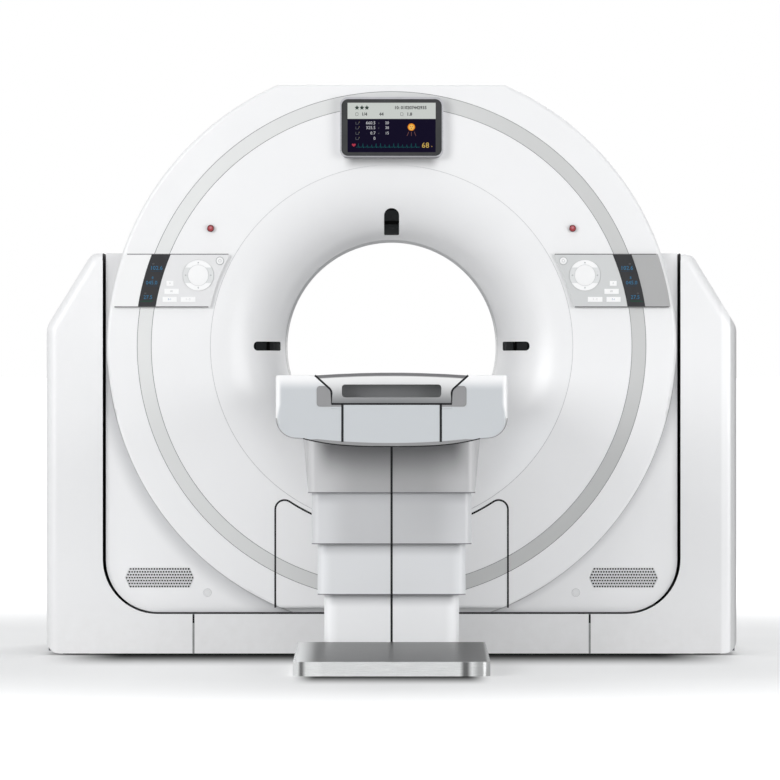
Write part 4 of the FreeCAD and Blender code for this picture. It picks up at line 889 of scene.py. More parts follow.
READOUT_DARK = GlossBlack("readout dark", (0.038, 0.038, 0.040), 0.15)
KEY_WHITE = SatinPlastic("key white", (0.88, 0.88, 0.88), 0.34, 0.03)
PAD_WHITE = PadPrint("pad white", (0.90, 0.90, 0.90), 0.34)
STOP_RED = StopCap("stop red", (0.34, 0.014, 0.022), 0.22, 0.02, 0.7)
FOOT_STEEL = FootMetal("foot steel", (0.90, 0.91, 0.91), 0.26, (1.2, 50.0, 50.0), 0.05)
# Each stage's colour is darker than the one below, as painted shade that stands for the table's shadow.
COLUMN_1 = ColumnCover("column white 1", (0.88, 0.885, 0.895), 0.36)
COLUMN_2 = ColumnCover("column white 2", (0.725, 0.735, 0.75), 0.36, half_width=0.239, lip=0.2292, shelter=0.393)
COLUMN_3 = ColumnCover("column white 3", (0.548, 0.553, 0.565), 0.36, half_width=0.258, lip=0.3932, shelter=0.558,
                       edge_width=0.075, painted_edge_light=1.24)
COLUMN_4 = ColumnCover("column white 4", (0.425, 0.425, 0.43), 0.36, half_width=0.270, lip=0.5582, shelter=0.735,
                       depth=0.075, soft=0.038, shade=(0.118, 0.118, 0.122), edge_width=0.090, painted_edge_light=1.42)
INLAY_GREY = SatinPlastic("inlay grey", (0.26, 0.26, 0.265), 0.4)
CRADLE_GREY = CradleSkin("cradle grey", (0.42, 0.43, 0.44), 0.36)
BRIDGE_GREY = SatinPlastic("bridge grey", (0.17, 0.18, 0.20), 0.5)

# Finishes of the inside
FRAME_PAINT = CastSurface("frame paint", (0.11, 0.12, 0.14), 0.5, 0.0, 380.0, 0.12)
CAST_GREY = CastSurface("cast grey", (0.09, 0.10, 0.11), 0.62, 0.3, 150.0, 0.4)
BEARING_STEEL = TurnedMetal("bearing steel", (0.48, 0.49, 0.51), 0.28)
MOTOR_PAINT = CastSurface("motor paint", (0.024, 0.027, 0.033), 0.45, 0.0, 420.0, 0.15)
FOOT_RUBBER = RibbedRubber("foot rubber", (0.012, 0.012, 0.012), 0.75)
CAST_ALUMINIUM = CastSurface("cast aluminium", (0.50, 0.51, 0.52), 0.42, 1.0, 220.0, 0.2)
SLIP_RING_GOLD = TurnedMetal("slip ring tracks", (0.52, 0.36, 0.13), 0.25, 90.0)
TUBE_PAINT = CastSurface("tube paint", (0.28, 0.30, 0.33), 0.4, 0.0, 500.0, 0.1)
BELT_RUBBER = RibbedRubber("belt rubber", (0.010, 0.010, 0.010), 0.65, 250.0)

# Finishes of marks and lit signs
SEAM_GREY = RibbedRubber("seam grey", (0.16, 0.16, 0.165), 0.6)
LIP_GREY = RibbedRubber("lip grey", (0.19, 0.19, 0.19), 0.6)
# Painted shadow: the strip along the skirt's top stands for the shade in the gap under the tilting body.
GAP_SHADOW_DARK = RibbedRubber("lip dark", (0.030, 0.030, 0.031), 0.6)
EDGE_GREY = SatinPlastic("edge grey", (0.10, 0.10, 0.10), 0.35)
MARK_GREY = SatinPlastic("mark grey", (0.42, 0.43, 0.44))
MARK_PALE = SatinPlastic("mark pale", (0.60, 0.60, 0.61))
MARK_BLUE = SatinPlastic("mark blue", (0.10, 0.20, 0.38))
MARK_GREEN = SatinPlastic("mark green", (0.004, 0.020, 0.012))
MARK_INK = SatinPlastic("mark ink", (0.045, 0.050, 0.048))
SCREEN_HEADER = Lamp("screen header", (0.60, 0.63, 0.60))
SCREEN_NAVY = Lamp("screen navy", (0.006, 0.004, 0.018))
LIT_WHITE = Lamp("lit white", (0.62, 0.62, 0.66))
LIT_GREY = Lamp("lit grey", (0.15, 0.16, 0.17))
LIT_ORANGE = Lamp("lit orange", (0.80, 0.26, 0.02))
LIT_AMBER = Lamp("lit amber", (0.62, 0.42, 0.10))
LIT_RED = Lamp("lit red", (0.42, 0.04, 0.07))
LIT_TEAL = Lamp("lit teal", (0.010, 0.115, 0.120))
LIT_OLIVE = Lamp("lit olive", (0.20, 0.16, 0.05))
LIT_YELLOW = Lamp("lit yellow", (0.86, 0.52, 0.10))
LIT_ROSE = Lamp("lit rose", (0.18, 0.075, 0.070))
LIT_BLUE = Lamp("lit blue", (0.045, 0.19, 0.35))
LIT_BLUE_DIM = Lamp("lit dim blue", (0.025, 0.06, 0.10))
LIT_GREEN = Lamp("lit green", (0.020, 0.085, 0.052))

NODE_FINISHES: dict[Finish, tuple[str, ...]] = {
    COVER_WHITE: ("rear_shell", "rear_cover", "vent_grilles"),
    DISC_WHITE: ("front_shell", "front_cover", "lower_hatch"),
    PILLAR_WHITE: ("front_corner_covers", "rear_corner_covers", "side_covers"),
    SKIRT_WHITE: ("front_skirt", "rear_skirt"),
    FUNNEL_WHITE: ("front_funnel", "rear_funnel"),
    TABLE_WHITE: ("table_side_covers", "table_end_panel"),
    TRIM_GREY: ("trim_ring",),
    WINDOW_BLACK: ("laser_windows",),
    CLEAR_RING: ("scan_window",),
    RIM_SILVER: ("display_housing",),
    SCREEN_DARK: ("display_glass",),
    PANEL_GREY: ("control_panels",),
    READOUT_DARK: ("panel_readouts",),
    KEY_WHITE: ("right_centre_key", "right_round_key", "left_centre_key", "left_round_key"),
    PAD_WHITE: ("right_pad", "left_pad"),
    STOP_RED: ("right_stop_button", "left_stop_button"),
    FOOT_STEEL: ("foot_plate",),
    COLUMN_1: ("column_stage_1",),
    COLUMN_2: ("column_stage_2",),
    COLUMN_3: ("column_stage_3",),
    COLUMN_4: ("column_stage_4",),
    INLAY_GREY: ("end_inlays",),
    CRADLE_GREY: ("cradle",),
    BRIDGE_GREY: ("cable_bridge",),
    FRAME_PAINT: ("base_frame", "gantry_frame"),
    CAST_GREY: ("tilt_stands",),
    BEARING_STEEL: ("tilt_bearings", "tilt_pins", "bearing_outer_race", "bearing_inner_race"),
    MOTOR_PAINT: ("tilt_motor", "brush_block", "drive_motor", "lift_drive"),
    FOOT_RUBBER: ("levelling_feet",),
    CAST_ALUMINIUM: ("rotor_drum", "generator", "heat_exchanger", "motor_pulley", "table_frame"),
    SLIP_RING_GOLD: ("slip_ring",),
    TUBE_PAINT: ("xray_tube", "collimator", "detector_arc"),
    BELT_RUBBER: ("drive_belt",),
}


# ---------------------------------------------------------------- mesh kit

class Body(Enum):
    """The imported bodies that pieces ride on."""

    STAND = "stand"
    GANTRY = "gantry"
    ROTOR = "rotor"
    STAGE_2 = "stage_2"
    STAGE_3 = "stage_3"
    TABLE = "table"
    CRADLE = "cradle"
    RIGHT_PAD = "right_pad"
    LEFT_PAD = "left_pad"
    RIGHT_KEY = "right_round_key"
    LEFT_KEY = "left_round_key"


def arc(centre: Flat, radius: float, start: float, end: float, steps: int = 24) -> list[Flat]:
    """Points along an arc, from one angle in degrees to another."""
    angles = [math.radians(start + (end - start) * step / steps) for step in range(steps + 1)]
    return [(centre[0] + radius * math.cos(angle), centre[1] + radius * math.sin(angle)) for angle in angles]


def circle(centre: Flat, radius: float, steps: int) -> list[Flat]:
    """Points round a circle."""
    return arc(centre, radius, 0, 360, steps)[:-1]


def at_depth(outline: Sequence[Flat], y: float) -> list[Point]:
    """An outline in x and z set at a y."""
    return [(x, y, z) for x, z in outline]


def at_height(outline: Sequence[Flat], z: float) -> list[Point]:
    """An outline in x and y set at a z."""
    return [(x, y, z) for x, y in outline]


def rounded(centre: Flat, half: Flat, radius: float, steps: int = 6) -> list[Flat]:
    """A rounded rectangle's outline, anticlockwise.

    Args:
        centre: its middle.
        half: half its width and height.
        radius: its corners' radius.
        steps: how many edges a corner has.

    Returns:
        The outline.
    """
    outline = []
    for side_x, side_z, start in ((1, 1, 0), (-1, 1, 90), (-1, -1, 180), (1, -1, 270)):
        corner = (centre[0] + side_x * (half[0] - radius), centre[1] + side_z * (half[1] - radius))
        outline += arc(corner, radius, start, start + 90, steps)
    return outline


class Form:
    """A piece's mesh while it is being built, in the frame's metres."""

    def __init__(self) -> None:
        """Starts with an empty mesh."""
        self.mesh = bmesh.new()

    def loft(self, rows: Sequence[Sequence[Point]], slot: int = 0, closed: bool = True) -> None:
        """Joins rows of points with quads.

        Args:
            rows: rows of as many points each.
            slot: the material slot of the new faces.
            closed: whether each row is a loop.
        """
        made = [[self.mesh.verts.new(point) for point in row] for row in rows]
        count = len(rows[0])
        for near, far in zip(made, made[1:]):
            for index in range(count if closed else count - 1):
                after = (index + 1) % count
                face = self.mesh.faces.new((near[index], near[after], far[after], far[index]))
                face.material_index = slot

    def face(self, points: Sequence[Point], slot: int = 0) -> None:
        """Adds one flat face."""
        face = self.mesh.faces.new([self.mesh.verts.new(point) for point in points])
        face.material_index = slot

    def plate(self, outline: Sequence[Flat], front: float, back: float, slot: int = 0) -> None:
        """A plate that faces -Y, from an anticlockwise outline in x and z."""
        self.loft([at_depth(outline, back), at_depth(outline, front)], slot)
        self.face(at_depth(outline, front), slot)

    def lathe(self, profile: Sequence[Flat], centre: Flat = (0.0, AXIS_Z), steps: int = 48, slot: int = 0) -> None:
        """Turns a profile of radius and y about an axis along Y, from its back outer edge inwards.

        Args:
            profile: radius and y of each point; a last radius of 0 closes the form.
            centre: x and z of the axis.
            steps: how many sides.
            slot: its material slot.
        """
        rows = [at_depth(circle(centre, max(radius, 1e-5), steps), y) for radius, y in profile]
        self.loft(rows, slot)
        if profile[-1][0] == 0:
            self.face(rows[-1], slot)

    def ribbon(self, path: Sequence[Flat], width: float, front: float, back: float, slot: int = 0,
               closed: bool = False) -> None:
        """A raised strip along a path in x and z, facing -Y.

        Args:
            path: the middle line's points.
            width: its width.
            front: y of its face.
            back: y of its foot.
            slot: its material slot.
            closed: whether the path is a loop.
        """
        left, right = [], []
        for index, (x, z) in enumerate(path):
            before = path[index - 1] if closed or index > 0 else path[index]
            after = path[(index + 1) % len(path)] if closed or index < len(path) - 1 else path[index]
            along = Vector((after[0] - before[0], after[1] - before[1])).normalized() * (width / 2)
            left.append((x - along.y, z + along.x))
            right.append((x + along.y, z - along.x))
        self.loft([at_depth(side, y) for side, y in ((right, back), (right, front), (left, front), (left, back))],
                  slot, closed)

    def text(self, string: str, place: Flat, height: float, y: float, slot: int = 0, align: str = "CENTER",
             bold: float = 0.0) -> None:
        """Plain digits that face -Y.

        Args:
            string: the digits.
            place: x and z of their middle, or of their left or right end.
            height: the digits' height.
            y: how far forward they lie.
            slot: their material slot.
            align: LEFT, CENTER or RIGHT.
            bold: how far the strokes grow on each side.
        """
        curve = bpy.data.curves.new("digits", "FONT")
        curve.offset, curve.body, curve.size = bold, string, height / 0.72
        curve.resolution_u = 2
        curve.align_x, curve.align_y = align, "CENTER"
        holder = bpy.data.objects.new("digits", curve)
        flat = bpy.data.meshes.new_from_object(holder)
        flat.transform(Matrix.Translation((place[0], y, place[1])) @ Matrix.Rotation(math.radians(90), 4, "X"))
        self.add(flat, slot)
        bpy.data.objects.remove(holder)
        bpy.data.curves.remove(curve)

    def add(self, mesh: bpy.types.Mesh, slot: int = 0) -> None:
        """Takes in a finished mesh's faces with one material slot, and removes the mesh.

        Args:
            mesh: the mesh.
            slot: the slot.
        """
        before = len(self.mesh.faces)
        self.mesh.from_mesh(mesh)
        self.mesh.faces.ensure_lookup_table()
        for face in self.mesh.faces[before:]:
            face.material_index = slot
        bpy.data.meshes.remove(mesh)

    def mirror(self) -> None:
        """Adds the form's mirror image in the middle plane."""
        copy = bmesh.ops.duplicate(self.mesh, geom=self.mesh.faces[:])["geom"]
        faces = [item for item in copy if isinstance(item, bmesh.types.BMFace)]
        verts = [item for item in copy if isinstance(item, bmesh.types.BMVert)]
        bmesh.ops.scale(self.mesh, vec=(-1.0, 1.0, 1.0), verts=verts)
        bmesh.ops.reverse_faces(self.mesh, faces=faces)

    def piece(self, name: str, body: Body, finishes: Sequence[Finish], replaces: Sequence[str] = (),
              sharp: float = 35.0, flat: bool = False) -> None:
        """Turns the form into a finished piece.

        Args:
            name: the piece's name.
            body: the body that it rides on.
            finishes: a finish for each material slot.
            replaces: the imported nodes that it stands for.
            sharp: the angle in degrees over which an edge shows sharp.
            flat: whether its large faces keep an even shade beside their roundings.
        """
        mesh = bpy.data.meshes.new(name)
        self.mesh.to_mesh(mesh)
        self.mesh.free()
        mesh.shade_smooth()
        mesh.set_sharp_from_angle(angle=math.radians(sharp))
        for finish in finishes:
            mesh.materials.append(finish.material())
        piece = bpy.data.objects.new(name, mesh)
        bpy.context.scene.collection.objects.link(piece)
        if flat:
            piece.modifiers.new("normals", "WEIGHTED_NORMAL").keep_sharp = True
        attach(piece, body.value)
        if replaces:
            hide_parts(*replaces)
        log.info("%s: %d faces on %s", name, len(mesh.polygons), body.value)


def softened(node: str, width: float, segments: int, angle: float,
             chosen: Callable[[bmesh.types.BMEdge], bool],
             shift: Callable[[Vector], None] = lambda point: None) -> Form:
    """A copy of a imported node's mesh with its sharp edges rounded.

    Args:
        node: the node's name.
        width: the rounding's width in metres.
        segments: how many faces the rounding has.
        angle: edges sharper than this many degrees are rounded.
        chosen: picks the edges that are rounded.
        shift: moves a point of the copy before the rounding.

    Returns:
        The softened form.
    """
    form = Form()
    form.mesh.from_mesh(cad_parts[node].data)
    bmesh.ops.remove_doubles(form.mesh, verts=form.mesh.verts[:], dist=1e-5)
    bmesh.ops.dissolve_limit(form.mesh, angle_limit=math.radians(1.0), verts=form.mesh.verts[:],
                             edges=form.mesh.edges[:])
    for face in form.mesh.faces:
        face.material_index = 0
    for vert in form.mesh.verts:
        shift(vert.co)
    edges = [edge for edge in form.mesh.edges if len(edge.link_faces) == 2
             and edge.calc_face_angle(0.0) > math.radians(angle) and chosen(edge)]
    bmesh.ops.bevel(form.mesh, geom=edges, offset=width, offset_type="OFFSET", segments=segments,
                    profile=0.5, affect="EDGES", clamp_overlap=True)
    return form


# ---------------------------------------------------------------- tilting body

@dataclass
class DiscFace:
    """The seams and caps of the tilting body's front.

    Attributes:
        gaskets: each gasket's radius and material slot: the funnel's edge and both edges of the trim ring.
        gasket: the thin gaskets' width.
        hatch_half: half the lower hatch's width.
        hatch_arc: the radius of its concave top.
        hatch_corner: the radius of its upper corners.
        hatch_seam: the width of the black seam round it.
        disc_foot: z of the disc's flat foot.
        proud: how far a gasket stands out.
        port: the middle of the right one of the two small round caps.
        port_radius: a cap's radius.
    """

    gaskets: tuple[tuple[float, int], ...] = ((0.606, 1), (0.8505, 0), (0.8035, 0))
    gasket: float = 0.0018
    hatch_half: float = 0.389
    hatch_arc: float = 0.622
    hatch_corner: float = 0.031
    hatch_seam: float = 0.0060
    disc_foot: float = 0.1598
    proud: float = 0.0004
    port: Flat = (0.617, 0.209)
    port_radius: float = 0.013

    def seams(self) -> None:
        """Lays a thin gasket round the funnel and on both sides of the trim ring."""
        form = Form()
        half, foot = self.gasket / 2, FACE_Y + 0.001
        shoulder, crest = FACE_Y - self.proud / 2, FACE_Y - self.proud
        for radius, slot in self.gaskets:
            form.lathe([(radius + half, foot), (radius + half, shoulder), (radius, crest), (radius - half, shoulder),
                        (radius - half, foot)], steps=256, slot=slot)
        form.piece("disc_gaskets", Body.GANTRY, [SEAM_GREY, MARK_PALE])

    def hatch_path(self) -> list[Flat]:
        """The middle line of the hatch's seam, from its right foot over the arc to its left foot.

        Returns:
            The line's points in x and z.
        """
        corner_x = self.hatch_half - self.hatch_corner
        drop = math.sqrt((self.hatch_arc + self.hatch_corner) ** 2 - corner_x ** 2)
        corner = (corner_x, AXIS_Z - drop)
        tangent = math.degrees(math.atan2(drop, corner_x))
        right = [(self.hatch_half, self.disc_foot), (self.hatch_half, corner[1] - 0.1)]
        right += arc(corner, self.hatch_corner, 0, 180 - tangent, 12)
        crown = arc((0.0, AXIS_Z), self.hatch_arc, -tangent, -180 + tangent, 40)
        return right + crown[1:-1] + [(-x, z) for x, z in reversed(right)]

    def hatch(self) -> None:
        """Lays the black seam round the lower hatch."""
        form = Form()
        form.ribbon(self.hatch_path(), self.hatch_seam, FACE_Y - self.proud * 1.5, FACE_Y + 0.002)
        form.piece("hatch_seam", Body.GANTRY, [GASKET_BLACK])

    def ports(self) -> None:
        """Sets the two small round caps in the shoulder, each with a pale outline."""
        form = Form()
        cap = ((0.0, 0.001), (0.0, -0.0006), (0.0015, -0.0015), (0.003, -0.0013), (0.0042, -0.0002),
               (0.0054, -0.0013), (self.port_radius, -0.0016))
        outline = ((-0.0010, 0.0005), (-0.0010, -0.0003), (0.0004, -0.0005), (0.0004, 0.0005))
        for side in (1, -1):
            for slot, profile in enumerate((cap, outline)):
                form.lathe([(self.port_radius - inset, SHOULDER_Y + y) for inset, y in profile],
                           (side * self.port[0], self.port[1]), 40, slot)
        form.piece("port_caps", Body.GANTRY, [COVER_WHITE, MARK_PALE])

    def build(self) -> None:
        """Builds all pieces of the disc's front."""
        self.seams()
        self.hatch()
        self.ports()


class Ink(Enum):
    """The display picture's material slots."""

    HEADER, FIELD, STAR, PRINT, DIGIT, SMALL, SUN, NUMBER, RED, TRACE, TICK, DISC, RAY = range(13)


@dataclass
class Display:
    """What the display shows: a pale header, digit rows, a round sign, a trace and a number.

    Attributes:
        glass_y: y of the glass's face.
        half_width: half the lit area's width.
        foot: z of the lit area's lower edge.
        header: z where the pale header starts.
        top: z of its upper edge.
        layer: how far each layer lies before the next.
        form: the picture's mesh.
    """

    glass_y: float = -0.516
    half_width: float = 0.147
    foot: float = 1.6815
    header: float = 1.7928
    top: float = 1.8465
    layer: float = 0.00012
    form: Form = field(default_factory=Form)

    @property
    def front(self) -> float:
        """The y of the picture's second layer."""
        return self.glass_y - self.layer * 2

    def fill(self, outline: Sequence[Flat], ink: Ink, level: int = 2) -> None:
        """Adds a flat shape on one of the layers."""
        self.form.face(at_depth(outline, self.glass_y - self.layer * level), ink.value)

    def box(self, x: Flat, z: Flat, ink: Ink, level: int) -> None:
        """Adds a flat rectangle on one of the layers."""
        self.fill([(x[0], z[0]), (x[1], z[0]), (x[1], z[1]), (x[0], z[1])], ink, level)

    def line(self, path: Sequence[Flat], width: float, ink: Ink, closed: bool = False) -> None:
        """Adds a line on the second layer."""
        self.form.ribbon(path, width, self.front, self.front + self.layer, ink.value, closed)

    def ground(self) -> None:
        """The header and the dark field."""
        width = (-self.half_width, self.half_width)
        self.box(width, (self.header, self.top), Ink.HEADER, 1)
        self.box(width, (self.foot, self.header), Ink.FIELD, 1)

    def head(self) -> None:
        """Three marks and the numbers in the header."""
        for x in (-0.1155, -0.099, -0.0825):
            tips, notches = (arc((x, 1.830), radius, start, start + 360, 5)[:-1]
                             for radius, start in ((0.0084, 90), (0.0043, 126)))
            self.fill([point for pair in zip(tips, notches) for point in pair], Ink.STAR)
        for string, place, height in (("10: 010207442935", (0.063, 1.8297), 0.0104), ("1/4", (-0.091, 1.8082), 0.0106),
                                      ("44", (-0.034, 1.8082), 0.0106), ("1.8", (0.0595, 1.8082), 0.0106)):
            self.form.text(string, place, height, self.front, Ink.PRINT.value, bold=0.0005)
        for x in (-0.116, 0.034):
            self.line(rounded((x, 1.8085), (0.0042, 0.0050), 0.0015, 2), 0.0011, Ink.PRINT, True)

    def rows(self) -> None:
        """The digit rows with a small sign before each."""
        for z, value, extra in ((1.779, "660.5", "20"), (1.763, "325.5", "30"), (1.7450, "0.7", "15"),
                                (1.7275, "0", "")):
            self.form.text(value, (-0.0535, z), 0.0105, self.front, Ink.DIGIT.value, "RIGHT")
            if extra:
                self.form.text(extra, (-0.0085, z), 0.0095, self.front, Ink.DIGIT.value, "RIGHT")
                self.form.text("0", (-0.0430, z - 0.001), 0.0045, self.front, Ink.SMALL.value)
            self.line([(-0.1195, z + 0.004), (-0.1195, z - 0.004), (-0.111, z - 0.004), (-0.1085, z + 0.004)],
                      0.0012, Ink.SMALL)
            self.box((-0.1090, -0.1068), (z + 0.002, z + 0.0045), Ink.TICK, 2)

    def sign(self) -> None:
        """The round orange sign with three strokes under it."""
        self.fill(circle((0.066, 1.7655), 0.0122, 24), Ink.SUN)
        self.fill(circle((0.066, 1.7650), 0.0088, 20), Ink.DISC, 3)
        for place in ((0.0628, 1.7672), (0.0692, 1.7672), (0.066, 1.7610)):
            self.fill(circle(place, 0.0017, 8), Ink.RED, 4)
        for foot_x, head_x in ((0.0515, 0.0575), (0.066, 0.066), (0.0815, 0.0755)):
            self.line([(head_x, 1.7500), (foot_x, 1.7355)], 0.0015, Ink.RAY)

    def trace(self) -> None:
        """The trace along the bottom, the heart before it and the large number after it."""
        base = 1.6985
        path = [(-0.118, base)]
        for beat in range(14):
            x = -0.1095 + 0.0147 * beat
            peak = 0.0125 if beat % 4 in (0, 1) else 0.0085
            path += [(x - 0.0032, base), (x - 0.0012, base + peak), (x + 0.0006, base - 0.0028), (x + 0.0024, base)]
        self.line(path + [(0.094, base)], 0.0013, Ink.TRACE)
        self.fill(arc((-0.1295, 1.7068), 0.0034, 20, 200, 8) + [(-0.1262, 1.6995)]
                  + arc((-0.1229, 1.7068), 0.0034, -20, 160, 8), Ink.RED)
        self.form.text("68", (0.113, 1.7040), 0.0185, self.front, Ink.NUMBER.value)
        self.form.text("*", (0.1335, 1.6985), 0.0080, self.front, Ink.NUMBER.value)

    def build(self) -> None:
        """Builds the lit picture on the glass."""
        for draw in (self.ground, self.head, self.rows, self.sign, self.trace):
            draw()
        self.form.piece("display_picture", Body.GANTRY,
                        [SCREEN_HEADER, SCREEN_NAVY, MARK_GREEN, MARK_INK, LIT_WHITE, LIT_GREY, LIT_ORANGE, LIT_AMBER,
                         LIT_RED, LIT_TEAL, LIT_OLIVE, LIT_YELLOW, LIT_ROSE])


@dataclass
class PanelMarks:
    """The marks on one control panel, its readout, pad and keys.

    Attributes:
        side: 1 for the right panel and -1 for the left one.
        key_y: y of the keys' faces.
        flat_y: y of the flat keys' faces.
        round_key: the small round key's centre on the right side.
        top: z of the panel's upper edge.
        foot: z of its lower edge.
        layer: how far a mark stands before its ground.
    """

    side: int
    key_y: float = -0.496
    flat_y: float = -0.495
    round_key: Flat = (0.5737, 1.3194)
    top: float = 1.343
    foot: float = 1.1636
    layer: float = 0.00015

    @property
    def label(self) -> str:
        """The side's word in the piece names."""
        return "right" if self.side > 0 else "left"

    def at(self, place: Flat) -> Flat:
        """A place of the right side on this side."""
        return self.side * place[0], place[1]

    def stroke(self, form: Form, middle: Flat, half: float, width: float, back: float, slot: int = 0) -> None:
        """Draws a level stroke on the panel's face, from its middle on the right side and half its length."""
        x, z = self.at(middle)
        form.ribbon([(x - half, z), (x + half, z)], width, PANEL_Y - self.layer, back, slot)

    def readout(self) -> None:
        """Three digit rows on the dark band, each with a small label and an underline."""
        form = Form()
        y = PANEL_Y - self.layer
        for place, value, height, slot in (((0.7860, 1.2950), "102.6", 0.0138, 1),
                                           ((0.8018, 1.2460), "045.0", 0.0126, 1),
                                           ((0.8140, 1.1975), "27.5", 0.0128, 2)):
            form.text(value, self.at(place), height, y, 0)
            self.stroke(form, (place[0], place[1] - 0.0105), 0.019, 0.0012, PANEL_Y, slot)
        for value, place, height, slot in (("8", (0.7985, 1.2625), 0.0090, 0), ("00", (0.7960, 1.3090), 0.0052, 3),
                                           ("00", (0.8230, 1.2105), 0.0052, 3)):
            form.text(value, self.at(place), height, y, slot)
        self.stroke(form, (0.820, 1.1835), 0.021, 0.0018, PANEL_Y, 2)
        form.piece(f"{self.label}_readout_digits", Body.GANTRY, [LIT_BLUE, LIT_BLUE_DIM, LIT_GREEN, LIT_GREY])

    def edges(self) -> None:
        """The dark shadow lines along the panel's upper and lower edges."""
        form = Form()
        for z, half in ((self.top - 0.0014, 0.0014), (self.foot + 0.0018, 0.0018)):
            outer, inner = (math.sqrt(radius ** 2 - (z - AXIS_Z) ** 2) for radius in (0.941, 0.620))
            self.stroke(form, ((inner + outer) / 2, z), (outer - inner) / 2 - 0.006, 2 * half, PANEL_Y + 0.004)
        form.piece(f"{self.label}_panel_edges", Body.GANTRY, [EDGE_GREY])

    def pad_marks(self) -> None:
        """Small arrows on the pad's ring, and the thin outlines of the ring and the centre key."""
        form = Form()
        centre = self.at(PAD_CENTRE)
        y = self.key_y - self.layer
        for angle in (0, 90, 180, 270):
            turn = Matrix.Rotation(math.radians(angle), 2)
            points = [turn @ Vector(point) for point in ((0.0455, 0.0), (0.0405, 0.0032), (0.0405, -0.0032),
                                                         (0.0380, 0.0))]
            places = [(centre[0] + point.x, centre[1] + point.y) for point in points]
            form.face(at_depth(places[:3], y))
            form.face(at_depth(circle(places[3], 0.0009, 8), y))
        form.lathe([(0.0520, y - 0.0004), (0.0520, y), (0.0510, y)], centre, 72, 1)
        form.lathe([(0.0356, self.key_y), (0.0356, y), (0.0349, y)], centre, 60, 1)
        form.piece(f"{self.label}_pad_marks", Body(f"{self.label}_pad"), [MARK_GREY, MARK_PALE])

    def key_marks(self) -> None:
        """The ring on the round key, the ring round it, and the small signs on the flat keys."""
        form = Form()
        y = self.key_y - self.layer
        form.lathe([(0.0056, y + 0.0001), (0.0056, y), (0.0034, y)], self.at(self.round_key), 24)
        form.piece(f"{self.label}_round_key_mark", Body(f"{self.label}_round_key"), [MARK_PALE])
        form = Form()
        for place, value, slot in (((0.7405, 1.2442), "0", 0), ((0.7350, 1.2175), "00", 0),
                                   ((0.7415, 1.1908), "0-1", 1), ((0.6800, 1.1908), "1 - 2", 0)):
            form.text(value, self.at(place), 0.0062, self.flat_y - self.layer, slot)
        face = PANEL_Y - self.layer
        form.lathe([(0.0140, PANEL_Y), (0.0140, face), (0.0120, face)], self.at(self.round_key), 40)
        form.piece(f"{self.label}_key_signs", Body.GANTRY, [MARK_GREY, MARK_BLUE])

    def build(self) -> None:
        """Builds all marks of this side."""
        for part in (self.readout, self.edges, self.pad_marks, self.key_marks):
            part()


# ---------------------------------------------------------------- repeated forms

class CopyTree(ShadeTree):
    """A Geometry Nodes tree that repeats a small form, with named inputs."""

    def __init__(self, name: str, **inputs: str) -> None:
        """Makes the tree with a form, a material, a centre and other inputs.

        Args:
            name: the tree's name.
            inputs: each other input's name and its kind of value.
        """
        self.group = bpy.data.node_groups.new(name, "GeometryNodeTree")
        self.nodes, self.links = self.group.nodes, self.group.links
        inputs = {"Form": "Object", "Material": "Material", "Centre": "Vector", **inputs}
        for label, kind in inputs.items():
            self.group.interface.new_socket(label, in_out="INPUT", socket_type=f"NodeSocket{kind}")
        self.group.interface.new_socket("Geometry", in_out="OUTPUT", socket_type="NodeSocketGeometry")
        entry = self.nodes.new("NodeGroupInput")
        self.inputs = {label: Shade(self, entry.outputs[label]) for label in inputs}

    def points(self, count: Shade, across: Shade, up: Shade) -> Shade:
        """So many points, each at its own place across and up from the centre.

        Args:
            count: how many points.
            across: each point's x from the centre.
            up: its z from the centre.

        Returns:
            The points' geometry.
        """
        offset = self.node("ShaderNodeCombineXYZ", values={"X": across, "Z": up})
        spot = self.node("ShaderNodeVectorMath", {"operation": "ADD"}, {0: offset, 1: self.inputs["Centre"]})
        line = self.node("GeometryNodeMeshLine", values={"Count": count})
        return self.node("GeometryNodeSetPosition", values={"Geometry": line, "Position": spot})

    def end(self, points: Shade, turn: Shade | None = None) -> None:
        """Puts the copied form on the points and closes the tree.

        Args:
            points: the points' geometry.
            turn: the copies' rotation, if they turn.
        """
        form = self.node("GeometryNodeObjectInfo", values={"Object": self.inputs["Form"]}, output="Geometry")
        values = {"Points": points, "Instance": form}
        if turn is not None:
            values["Rotation"] = turn
        real = self.node("GeometryNodeRealizeInstances",
                         values={0: self.node("GeometryNodeInstanceOnPoints", values=values)})
        done = self.node("GeometryNodeSetMaterial", values={"Geometry": real, "Material": self.inputs["Material"]})
        self.links.new(done.socket, self.nodes.new("NodeGroupOutput").inputs[0])

    def grow(self, form: Form, finish: Finish, **values: object) -> bpy.types.Mesh:
        """Repeats a form and returns one plain mesh.

        Args:
            form: the small form that is repeated.
            finish: its finish.
            values: the other inputs' values.

        Returns:
            The mesh of all the copies.
        """
        small = bpy.data.meshes.new("small")
        form.mesh.to_mesh(small)
        form.mesh.free()
        source = bpy.data.objects.new("small", small)
        holder = bpy.data.objects.new("holder", bpy.data.meshes.new("holder"))
        for made in (source, holder):
            bpy.context.scene.collection.objects.link(made)
        modifier = holder.modifiers.new("copies", "NODES")
        modifier.node_group = self.group
        values = {**values, "Form": source, "Material": finish.material()}
        for item in self.group.interface.items_tree:
            if item.in_out == "INPUT":
                modifier[item.identifier] = values[item.name]
        shown = holder.evaluated_get(bpy.context.evaluated_depsgraph_get())
        mesh = bpy.data.meshes.new_from_object(shown)
        for made in (source, holder):
            bpy.data.objects.remove(made)
        return mesh


